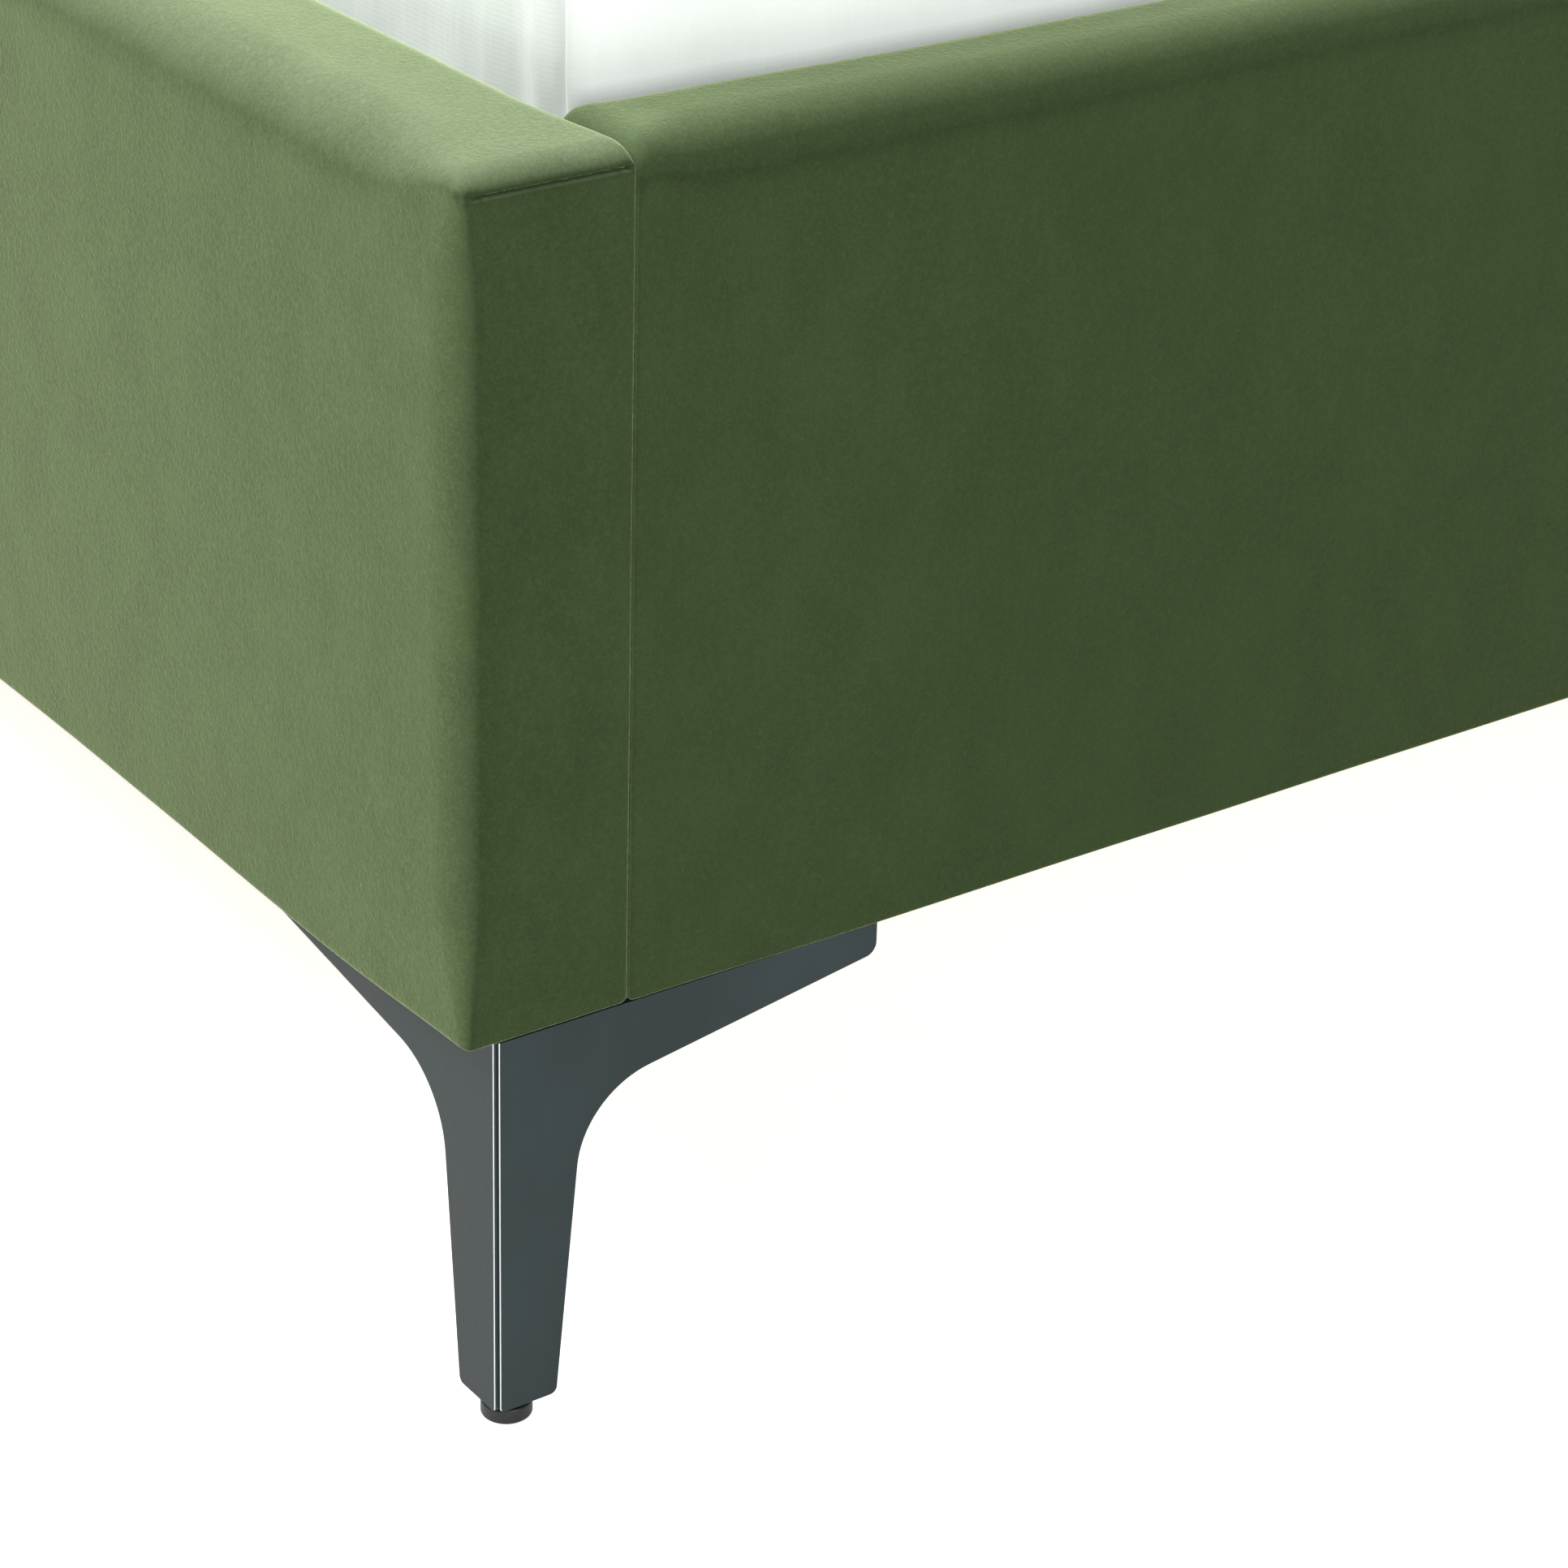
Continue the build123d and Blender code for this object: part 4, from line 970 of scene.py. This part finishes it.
def footboard():
    """The footboard: velvet over foam, rolled over the top and sewn down along the top of each end."""
    depth = footboard_high.y - footboard_low.y
    height = footboard_high.z - footboard_low.z
    shares = end_panel_shares(depth, height)
    along = stations_between(-half_width, half_width, np.arange(-half_width, half_width, 9 * MM))
    rings = [end_panel_ring(x, depth, height, shares, 0) for x in along]

    def place(x, y, z):
        return np.stack([x, footboard_low.y + y, rail_bottom + z], -1)

    def sculpt(points, normals):
        facing = ease(-normals[:, 1] * 1.4) + ease(normals[:, 2] * 1.2)
        pull = ripples(points, 420 * MM, 3) * 0.9 * MM * np.clip(facing, 0, 1)
        pull += ripples(points * (1, 1, 0.4), 90 * MM, 4) * 0.18 * MM * np.clip(facing, 0, 1)
        painted_seam_shadow = np.zeros(len(points))
        for side in sides.values():
            line = end_seams(footboard_low.y, footboard_high.y, footboard_high.z, side)
            pull += sewn(points, line, seam_depth, seam_half_width)
            painted_seam_shadow += seam_shadow_weight(points, line)
        return pull, painted_seam_shadow

    def is_open(points):
        inside = np.abs(points[:, 0]) < half_width - hem_width
        between = (points[:, 1] > footboard_low.y + hem_width) & (points[:, 1] < footboard_high.y - hem_width)
        return inside & between & (points[:, 2] < rail_bottom + 4 * MM)

    core = box_round(["footboard_bottom_timber", "footboard_top_timber", "footboard_front_panel",
                      "footboard_back_panel"])
    velvet = cover_panel("footboard", rings, along, place, True, sculpt, is_open, core, "velvet")
    droop_hem(velvet)


def box_round(names):
    """The lowest and highest corner of several nodes together."""
    boxes = [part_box(name) for name in names]
    return np.min([low for low, high in boxes], 0), np.max([high for low, high in boxes], 0)


def droop_hem(velvet):
    """The footboard's front hem hangs a little lower between its corners than at them."""
    count = len(velvet.data.vertices)
    points = np.zeros(count * 3)
    velvet.data.vertices.foreach_get("co", points)
    points = points.reshape(-1, 3)
    from_end = half_width - np.abs(points[:, 0])
    droop = 3.2 * MM * ease(from_end / (95 * MM)) * (1 - 0.6 * ease((from_end - 95 * MM) / (260 * MM)))
    near_front = np.clip(1 - (points[:, 1] - footboard_low.y) / (10 * MM), 0, 1) ** 0.5
    near_hem = np.clip(1 - (points[:, 2] - rail_bottom) / (60 * MM), 0, 1) ** 2
    points[:, 2] -= droop * near_front * near_hem
    velvet.data.vertices.foreach_set("co", points.ravel())


def channel_valleys(points, normals):
    """How far the headboard's sewn channels draw in: upright seams, and one along their foot. It also gives
    how much painted shade lies along each upright seam on the front.
    """
    pitch = 2 * half_width / channel_count
    across = (points[:, 0] + half_width) / pitch
    nearest = np.clip(np.round(across), 1, channel_count - 1)
    share = np.clip(np.abs(across - nearest) * 2, 0, 1)
    upright = (1 - share) ** 1.9
    from_foot = (points[:, 2] - channel_floor) / channel_foot_reach
    foot = np.clip(1 - np.abs(from_foot), 0, 1) ** 2.4
    foot = np.where(from_foot < 0, np.clip(1 + from_foot * 2.4, 0, 1) ** 2, foot)
    above = ease((from_foot * channel_foot_reach + 2 * MM) / (6 * MM))
    depth_share = (points[:, 1] - headboard_low.y) / (headboard_high.y - headboard_low.y)
    over_top = 1 - ease((depth_share - 0.3) / 0.55)
    fade = np.where(points[:, 2] > headboard_high.z - front_roll, over_top, 1.0)
    fade = fade * (depth_share < 0.9)
    frontal = ease(-normals[:, 1] * 1.4) * (depth_share < 0.3)
    valley = np.maximum(upright * above, foot * frontal) * channel_depth
    cord_line = np.exp(-((share * pitch / 2 / (1.6 * MM)) ** 2)) * above
    stitches = 0.75 + 0.25 * np.cos(2 * math.pi * points[:, 2] / (6 * MM))
    return (valley + 1.3 * MM * cord_line * stitches) * fade, cord_line * frontal


def headboard():
    """The headboard: a plain foot, and upright channels above the side rails that run over its top."""
    depth = headboard_high.y - headboard_low.y
    height = headboard_high.z - headboard_low.z
    shares = list(end_panel_shares(depth, height))
    face_run = height - front_roll - hem_roll
    foot_seam = channel_floor - rail_bottom - hem_roll
    stops = [18 * MM, foot_seam - 24 * MM, foot_seam + 24 * MM, face_run - 20 * MM]
    shares[1] = graded(face_run, stops, [3 * MM, 14 * MM, 3 * MM, 10 * MM, 2 * MM])
    pitch = 2 * half_width / channel_count
    offsets = np.array([0, 1, 2.2, 4, 6.5, 10, 15, 21, 29, 38, 48, 58, 68]) * MM
    seams = [-half_width + pitch * number for number in range(1, channel_count)]
    steps = [sign * offset for sign in (-1, 1) for offset in offsets]
    middle = sorted({round(seam + step, 6) for seam in seams for step in steps})
    along = stations_between(-half_width, half_width, middle)
    bolted_to = rail_high.z - rail_bottom
    rings = [end_panel_ring(x, depth, height, shares, bolted_to) for x in along]

    def place(x, y, z):
        return np.stack([x, headboard_low.y + y, rail_bottom + z], -1)

    def sculpt(points, normals):
        pull, painted_seam_shadow = channel_valleys(points, normals)
        frontal = ease(-normals[:, 1] * 1.4)
        pull += ripples(points * (1, 1, 0.5), 60 * MM, 8) * 0.3 * MM * frontal
        for side in sides.values():
            line = end_seams(headboard_low.y, headboard_high.y, headboard_high.z, side)
            pull += sewn(points, line, seam_depth, seam_half_width)
            painted_seam_shadow += seam_shadow_weight(points, line)
        return pull, painted_seam_shadow

    def is_open(points):
        inside = np.abs(points[:, 0]) < half_width - hem_width
        between = (points[:, 1] > headboard_low.y + hem_width) & (points[:, 1] < headboard_high.y - hem_width)
        return inside & between & (points[:, 2] < rail_bottom + 4 * MM)

    core = box_round(["headboard_top_timber", "headboard_front_panel"])
    core[0][2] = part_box("headboard_bottom_timber")[0].z
    cover_panel("headboard", rings, along, place, True, sculpt, is_open, core, "velvet")


def side_rail(name, side):
    """A side rail: velvet over foam on the outside and the top, and down the inside to the slats."""
    depth = rail_high.x - rail_low.x
    height = rail_high.z - rail_low.z
    start, end = rail_low.y, rail_high.y
    outer_roll, inner_roll = 22 * MM, 14 * MM
    under_run = depth - 2 * hem_roll
    hem = hem_width - hem_roll
    back_run = height - inner_roll - hem_roll
    to_ledger = rail_high.z - inner_roll - ledger_top
    shares = (
        graded(under_run, [under_run - hem], [9 * MM, 3 * MM]),
        graded(height - outer_roll - hem_roll, [18 * MM, 240 * MM], [3 * MM, 8 * MM, 3 * MM]),
        graded(depth - outer_roll - inner_roll, [], [3 * MM]),
        graded(back_run, [to_ledger], [8 * MM, 20 * MM]),
    )

    def shape_at(place):
        distance = min(place - start, end - place)
        opened = ease(distance / (30 * MM))
        front = rounding(distance, 2.2 * MM, 1.8 * MM)
        rear = depth - rounding(distance, 9 * MM, 5 * MM)
        low = rounding(distance, hem_edge_reach, hem_edge_depth)
        high = height - rounding(distance, 11 * MM, 7 * MM)
        rolls = (hem_roll, outer_roll - 8 * MM * (1 - opened), inner_roll - 4 * MM * (1 - opened), hem_roll)
        return front, rear, low, high, rolls

    along = stations_between(start, end, np.arange(start, end, 11 * MM))
    rings = [section_ring(*shape_at(y), shares) for y in along]

    def place(y, inward, z):
        return np.stack([side * (half_width - inward), y, rail_bottom + z], -1)

    def sculpt(points, normals):
        facing = np.clip(ease(side * normals[:, 0] * 1.4) + ease(normals[:, 2] * 1.2), 0, 1)
        from_end = np.minimum(points[:, 1] - start, end - points[:, 1])
        calm = ease(from_end / (90 * MM))
        pull = ripples(points, 380 * MM, 11 + side) * 0.9 * MM * facing * calm
        pull += ripples(points * (1, 1, 0.4), 80 * MM, 21 + side) * 0.15 * MM * facing * calm
        return pull, np.zeros(len(points))

    def is_open(points):
        inward = half_width - side * points[:, 0]
        under = (points[:, 2] < rail_bottom + 4 * MM) & (inward > hem_width)
        inside = (inward > depth - 6 * MM) & (points[:, 2] < ledger_top)
        beyond = np.minimum(points[:, 1] - start, end - points[:, 1]) < 0.5 * MM
        on_board = beyond & (inward > 0.5 * depth) & (points[:, 2] < board_high.z)
        return under | inside | on_board

    board = [Vector(board_low), Vector(board_high)]
    if side < 0:
        board = [
            Vector((-board_high.x, board_low.y, board_low.z)),
            Vector((-board_low.x, board_high.y, board_high.z)),
        ]
    core = np.array(board)
    cover_panel(name, rings, along, place, False, sculpt, is_open, core, "rail_velvet")


# ---------------------------------------------------------------- bedding
def plan_ring(half_x, half_y, corner, shares):
    """Points round a rounded rectangle, starting on its right side and going anticlockwise."""
    side_share, end_share = shares
    corner_steps = 12
    parts = []
    turns = ((1, -1, -90), (1, 1, 0), (-1, 1, 90), (-1, -1, 180))
    for sign_x, sign_y, first in turns:
        centre = np.array((sign_x * (half_x - corner), sign_y * (half_y - corner)))
        angle = np.radians(np.linspace(first, first + 90, corner_steps, endpoint=False))
        parts.append(centre + corner * np.stack([np.cos(angle), np.sin(angle)], 1))
        last = math.radians(first + 90)
        begin = centre + corner * np.array((math.cos(last), math.sin(last)))
        if first in (-90, 90):
            finish = begin * (1, -1)
            parts.append(begin + (finish - begin) * side_share[:, None])
        else:
            finish = begin * (-1, 1)
            parts.append(begin + (finish - begin) * end_share[:, None])
    return np.concatenate(parts)


def made_up_block(half_x, half_y, corner, low, high, edge, spacing, close_bottom):
    """A mattress-shaped surface as rings, from its bottom edge up its sides and in over its top."""
    side_share = graded(2 * (half_y - corner), [], [spacing])
    end_share = graded(2 * (half_x - corner), [], [spacing])
    shares = (side_share, end_share)
    profile = [(0, z) for z in np.linspace(low, high - edge, 22, endpoint=False)]
    turn = np.radians(np.linspace(0, 90, 9))
    profile += [(edge * (1 - math.cos(a)), high - edge + edge * math.sin(a)) for a in turn]
    insets = edge + np.cumsum([6, 9, 13, 18, 22] + [26] * 24) * MM
    profile += [(inset, high) for inset in insets if inset < half_x - 12 * MM]
    if close_bottom:
        profile = [(inset, low) for inset, z in profile[:30:-1]] + profile
    rings = []
    for inset, z in profile:
        ring = plan_ring(half_x - inset, half_y - inset, max(corner - inset, 1 * MM), shares)
        rings.append(np.column_stack([ring, np.full(len(ring), z)]))
    return np.array(rings)


def fold_heights(ring, seed, widths, sizes, gaps):
    """How far the sheet's upright folds stand out or fall back, at each point round the bed. The folds
    have random widths, sizes and gaps between the given ones, in mm."""
    chance = np.random.default_rng(seed)
    step = np.linalg.norm(np.roll(ring, -1, 0) - ring, axis=1)
    along = np.concatenate([[0], np.cumsum(step)[:-1]])
    total = step.sum()
    heights = np.zeros(len(ring))
    place = 0.0
    while place < total:
        width = chance.uniform(*widths) * MM
        size = chance.uniform(*sizes) * MM
        skew = chance.uniform(-0.45, 0.45)
        away = along - place
        away = (away + total / 2) % total - total / 2
        shape = np.exp(-((away / width) ** 2) * (1 + skew * np.sign(away)) * 4)
        heights += size * shape
        place += chance.uniform(*gaps) * MM
    return heights


def corner_pleat(plan, half_x, half_y):
    """The fold of spare cloth at each corner: a crease beside a sharp edge, on the foot and head ends."""
    from_end = half_y - np.abs(plan[:, 1])
    from_side = half_x - np.abs(plan[:, 0])
    on_end = from_end < from_side
    gap = np.where(on_end, from_side, from_end)

    def creases(rows):
        return sum(depth * np.exp(-(((gap / MM - place) / width) ** 2)) for place, width, depth in rows)

    # Each crease's place from the corner, width and depth, in mm
    end_fold = creases(((13, 4, 6), (38, 9, 2.5), (62, 4, 1.6)))
    side_fold = creases(((11, 1.6, 1.4), (60, 14, 1.0)))
    return -np.where(on_end, end_fold, side_fold) * MM


def bedding():
    """The mattress, and its fitted sheet, with upright folds down the sides and a pleat at each corner."""
    half_x, half_y = sheet_high.x, sheet_high.y
    low, high = sheet_low.z, sheet_high.z
    edge, corner = 26 * MM, 7 * MM
    rings = made_up_block(half_x, half_y, corner, low, high, edge, 5 * MM, False)
    ring_count, point_count = rings.shape[:2]
    points = rings.reshape(-1, 3)
    faces = outward_faces(points, ring_faces(ring_count, point_count, False))
    faces.append(list(range((ring_count - 1) * point_count, ring_count * point_count)))
    plan = rings[0][:, :2]
    folds = fold_heights(plan, seed=5, widths=(16, 60), sizes=(-5, 1.6), gaps=(35, 120))
    folds += fold_heights(plan, seed=9, widths=(5, 13), sizes=(-2.4, 1.2), gaps=(30, 150))
    corner_gap = np.hypot(*(np.abs(plan) - (half_x, half_y)).T)
    pleat = corner_pleat(plan, half_x, half_y)
    calm = 1 - np.exp(-((corner_gap / (60 * MM)) ** 2))
    outward = np.column_stack([surface_normals(points, faces)[:point_count, :2], np.zeros(point_count)])
    outward /= np.linalg.norm(outward, axis=1)[:, None]
    shaped = rings.copy()
    for number, ring in enumerate(rings):
        height = (ring[0, 2] - low) / (high - low)
        hang = (1 - ease((height - 0.55) / 0.45)) * (0.55 + 0.45 * (1 - height))
        wander = ripples(ring * (1, 1, 2.2), 70 * MM, 17) * 0.9 * MM
        shaped[number] += outward * ((folds * calm + pleat + wander) * hang)[:, None]
    top = ease((rings[:, :, 2] - (high - edge)) / edge)
    inset = np.minimum(half_x - np.abs(rings[:, :, 0]), half_y - np.abs(rings[:, :, 1]))
    flat_points = rings.reshape(-1, 3)
    crown = 7 * MM * ease(inset / (320 * MM))
    creases = ripples(flat_points * (1, 0.35, 1), 150 * MM, 31).reshape(inset.shape)
    small = ripples(flat_points * (0.5, 1, 1), 55 * MM, 33).reshape(inset.shape)
    rumples = (creases * 1.5 + small * 0.5) * MM * ease(inset / (90 * MM))
    shaped[:, :, 2] += top * (crown - 2.5 * MM + rumples)
    gather = np.cos(np.arange(point_count) * 2 * math.pi / 2.6) * 0.8 * MM
    shaped[0] += outward * gather[:, None] - outward * 1.5 * MM
    sheet = new_piece("percale_fitted_sheet", shaped.reshape(-1, 3), faces, materials["sheet"], "bedding")
    thicken(sheet, 0.8 * MM)
    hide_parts("fitted_sheet")

    back = 9 * MM
    body_rings = made_up_block(half_x - back, half_y - back, 26 * MM, low + 0.2 * MM, high - 7 * MM,
                               edge - 4 * MM, 22 * MM, True)
    count, width = body_rings.shape[:2]
    body_points = body_rings.reshape(-1, 3)
    on_top = body_points[:, 2] > high - 20 * MM
    body_points[:, 2] += ripples(body_points, 260 * MM, 41) * 1.2 * MM * on_top
    body_faces = outward_faces(body_points, ring_faces(count, width, True))
    mattress = new_piece("mattress_body", body_points, body_faces, materials["ticking"], "bedding")
    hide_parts("mattress")


# ---------------------------------------------------------------- back of the headboard
def dust_cloth():
    """The dust cloth: a thin sheet, slack between the staples that hold its folded edge."""
    inset = 10 * MM
    staple_pitch = 72 * MM
    xs = np.linspace(cloth_low.x, cloth_high.x, 221)
    zs = np.linspace(cloth_low.z, cloth_high.z, 131)
    grid_x, grid_z = np.meshgrid(xs, zs, indexing="ij")
    from_edge = np.minimum.reduce([grid_x - cloth_low.x, cloth_high.x - grid_x,
                                   grid_z - cloth_low.z, cloth_high.z - grid_z])
    flat_points = np.stack([grid_x, np.zeros_like(grid_x), grid_z], -1).reshape(-1, 3)
    slack = ripples(flat_points, 240 * MM, 51).reshape(grid_x.shape) * 0.9 * MM
    slack += ripples(flat_points, 40 * MM, 52).reshape(grid_x.shape) * 0.25 * MM
    folded = 0.5 * MM * (from_edge < 20 * MM)
    hold = ease(from_edge / (45 * MM))
    depth = cloth_high.y - 0.1 * MM - (0.9 * MM - slack) * hold * 0.5 - (0.4 * MM - folded) * (1 - hold)
    points = np.stack([grid_x, np.clip(depth, cloth_low.y + 0.2 * MM, cloth_high.y + 1.5 * MM), grid_z], -1)
    rows = len(zs)
    faces = [
        [a * rows + b, a * rows + b + 1, (a + 1) * rows + b + 1, (a + 1) * rows + b]
        for a in range(len(xs) - 1) for b in range(rows - 1)
    ]
    cloth = new_piece("spunbond_back_cloth", points.reshape(-1, 3), faces, materials["dust"], "frame")
    thicken(cloth, 0.3 * MM)
    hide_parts("headboard_dust_cloth")

    crown, leg, wire = 10 * MM, 1.2 * MM, 0.45 * MM
    staples = bpy.data.curves.new("back_cloth_staples", "CURVE")
    staples.dimensions = "3D"
    staples.bevel_depth = wire
    staples.bevel_resolution = 2
    face = cloth_high.y + 0.5 * MM
    runs = [
        ((cloth_low.x, z), (cloth_high.x, z), 0) for z in (cloth_low.z + inset, cloth_high.z - inset)
    ] + [
        ((x, cloth_low.z), (x, cloth_high.z), 1) for x in (cloth_low.x + inset, cloth_high.x - inset)
    ]
    chance = np.random.default_rng(6)
    for (x0, z0), (x1, z1), upright in runs:
        length = math.hypot(x1 - x0, z1 - z0)
        count = int(length / staple_pitch)
        for number in range(count):
            share = (number + 0.5 + chance.uniform(-0.12, 0.12)) / count
            middle = Vector((x0 + (x1 - x0) * share, face, z0 + (z1 - z0) * share))
            tilt = chance.uniform(-0.12, 0.12) + (math.pi / 2 if upright else 0)
            reach = Vector((math.cos(tilt), 0, math.sin(tilt))) * crown / 2
            spline = staples.splines.new("POLY")
            spline.points.add(3)
            inward = Vector((0, -leg, 0))
            for point, spot in zip(spline.points, (middle - reach + inward, middle - reach, middle + reach,
                                                   middle + reach + inward)):
                point.co = (*spot, 1)
    holder = bpy.data.objects.new("back_cloth_staples", staples)
    bpy.context.scene.collection.objects.link(holder)
    staples.materials.append(materials["zinc"])
    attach(holder, "frame")


# ---------------------------------------------------------------- floor, lights and camera
def pale_floor():
    """A plain pale painted floor, which glows white away from the bed, and a little wherever it is seen."""
    reach = 14.0
    glow_start, glow_end = 2.0, 4.5
    glow_near, glow_far, glow_seen = 0.4, 1.0, 0.27
    floor_mesh = bpy.data.meshes.new("studio_floor")
    corners = [(-reach, -reach, 0), (reach, -reach, 0), (reach, reach, 0), (-reach, reach, 0)]
    floor_mesh.from_pydata(corners, [], [(0, 1, 2, 3)])
    floor = bpy.data.objects.new("studio_floor", floor_mesh)
    bpy.context.scene.collection.objects.link(floor)
    material, tree, shader, place = start_material("painted_floor_pale", Roughness=0.7)
    tone = add_node(tree, "ShaderNodeMix", {
        0: add_node(tree, "ShaderNodeTexNoise", {
            "Vector": place, "Scale": 1 / 0.6, "Detail": 3.0,
        }, "Fac"),
        6: linear("#f7f7f6"), 7: linear("#f3f3f2"),
    }, 2, data_type="RGBA")
    tree.links.new(tone, shader.inputs["Base Color"])
    shader.inputs["Emission Color"].default_value = linear("#ffffff")
    outward = add_node(tree, "ShaderNodeVectorMath", {0: place}, "Value", operation="LENGTH")
    spread = add_node(tree, "ShaderNodeMapRange", {
        "Value": outward, "From Min": glow_start, "From Max": glow_end,
        "To Min": glow_near, "To Max": glow_far,
    }, 0)
    seen = add_node(tree, "ShaderNodeLightPath", None, "Is Camera Ray")
    extra = add_node(tree, "ShaderNodeMath", {0: seen, 1: glow_seen}, 0, operation="MULTIPLY")
    glow = add_node(tree, "ShaderNodeMath", {0: spread, 1: extra}, 0, operation="ADD")
    tree.links.new(glow, shader.inputs["Emission Strength"])
    floor_mesh.materials.append(material)


def white_backdrop():
    """A white world that lights the bed only faintly."""
    faint, white = 0.15, 1.0
    world = bpy.data.worlds.new("studio_white")
    bpy.context.scene.world = world
    world.use_nodes = True
    tree = world.node_tree
    backdrop = tree.nodes["Background"]
    backdrop.inputs["Color"].default_value = linear("#ffffff")
    seen = add_node(tree, "ShaderNodeLightPath", None, "Is Camera Ray")
    glow = add_node(tree, "ShaderNodeMapRange", {
        "Value": seen, "From Min": 0.0, "From Max": 1.0, "To Min": faint, "To Max": white,
    }, 0)
    tree.links.new(glow, backdrop.inputs["Strength"])


def soft_lamps():
    """Soft white light, from in front, the left, above and the right. Each lamp has its place, what it
    faces, its width and its power in watts."""
    lamps = {
        "key_softbox": ((0.0, -2.2, 1.95), (0.5, -1.0, 0.3), 1.2, 30.0),
        "left_strip": ((-2.6, -1.7, 1.5), (0.5, -1.05, 0.45), 0.9, 46.0),
        "top_softbox": ((0.3, -0.3, 4.4), (0.3, -0.2, 0.0), 4.2, 52.0),
        "right_card": ((3.4, -1.2, 1.3), (0.8, -0.7, 0.4), 1.6, 50.0),
    }
    for name, (spot, aim, size, power) in lamps.items():
        lamp = bpy.data.lights.new(name, "AREA")
        lamp.shape = "SQUARE"
        lamp.size = size
        lamp.energy = power
        holder = bpy.data.objects.new(name, lamp)
        holder.visible_camera = False
        holder.location = spot
        holder.rotation_euler = (Vector(aim) - Vector(spot)).to_track_quat("-Z", "Y").to_euler()
        bpy.context.scene.collection.objects.link(holder)
    bpy.context.scene.view_settings.view_transform = "Standard"


def camera():
    """A long lens, level with a standing eye, on the right corner of the foot end."""
    azimuth, elevation, roll = 0.939, 0.466, 0.029
    back = Vector((
        math.sin(azimuth) * math.cos(elevation),
        -math.cos(azimuth) * math.cos(elevation),
        math.sin(elevation),
    ))
    level = Vector((math.cos(azimuth), math.sin(azimuth), 0))
    upright = back.cross(level)
    right = math.cos(roll) * level + math.sin(roll) * upright
    up = math.cos(roll) * upright - math.sin(roll) * level
    corner = Vector((half_width, footboard_low.y, 0))
    spot = corner + Vector((1.0485, -0.6433, 0.8729))
    lens = bpy.data.cameras.new("camera")
    lens.lens = 100.14
    lens.sensor_width = 36
    lens.clip_start = 0.05
    lens.clip_end = 60
    holder = bpy.data.objects.new("camera", lens)
    holder.matrix_world = Matrix((
        (right.x, up.x, back.x, spot.x),
        (right.y, up.y, back.y, spot.y),
        (right.z, up.z, back.z, spot.z),
        (0, 0, 0, 1),
    ))
    bpy.context.scene.collection.objects.link(holder)
    bpy.context.scene.camera = holder


# ---------------------------------------------------------------- the bed
materials = {
    # The rails' velvet differs only by a deeper painted shade on its tops.
    "velvet": cut_pile_velvet("cut_pile_velvet_sage", "#f9f5fa"),
    "rail_velvet": cut_pile_velvet("cut_pile_velvet_sage_shaded_top", "#ced1c7"),
    "foam": cut_foam(),
    "sheet": cotton_percale(),
    "ticking": knitted_ticking(),
    "dust": spunbond_dust_cloth(),
    "coated": powder_coated_steel(),
    "zinc": zinc_plated_steel(),
    "nylon": moulded_nylon(),
    "plywood": rotary_cut_plywood(),
    "pine_x": planed_pine(0),
    "pine_y": planed_pine(1),
    "pine_z": planed_pine(2),
}
slot_materials = {
    "powder_coated_steel": "coated", "zinc_plated_steel": "zinc", "black_plastic": "nylon",
    "plywood": "plywood", "velvet": "velvet", "foam": "foam", "dust_cloth": "dust",
    "mattress_ticking": "ticking", "cotton_sheet": "sheet",
}
grain_along_y = ("side_rail", "slat_ledger", "centre_beam")


def finish_node(node, slot):
    """Gives a piece of the frame the finish of its slot, with timber's grain along its length."""
    if slot == "pine":
        kind = "pine_z" if "uprights" in node else "pine_y" if node.startswith(grain_along_y) else "pine_x"
    else:
        kind = slot_materials[slot]
    mesh = nodes[node].data
    mesh.materials.clear()
    mesh.materials.append(materials[kind])


for part in frame["record"]["subparts"]:
    finish_node(part["node"], part["material_slot"])

footboard()
headboard()
for name, side in sides.items():
    side_rail(f"side_rail_{name}", side)
bedding()
dust_cloth()
pale_floor()
white_backdrop()
soft_lamps()
camera()
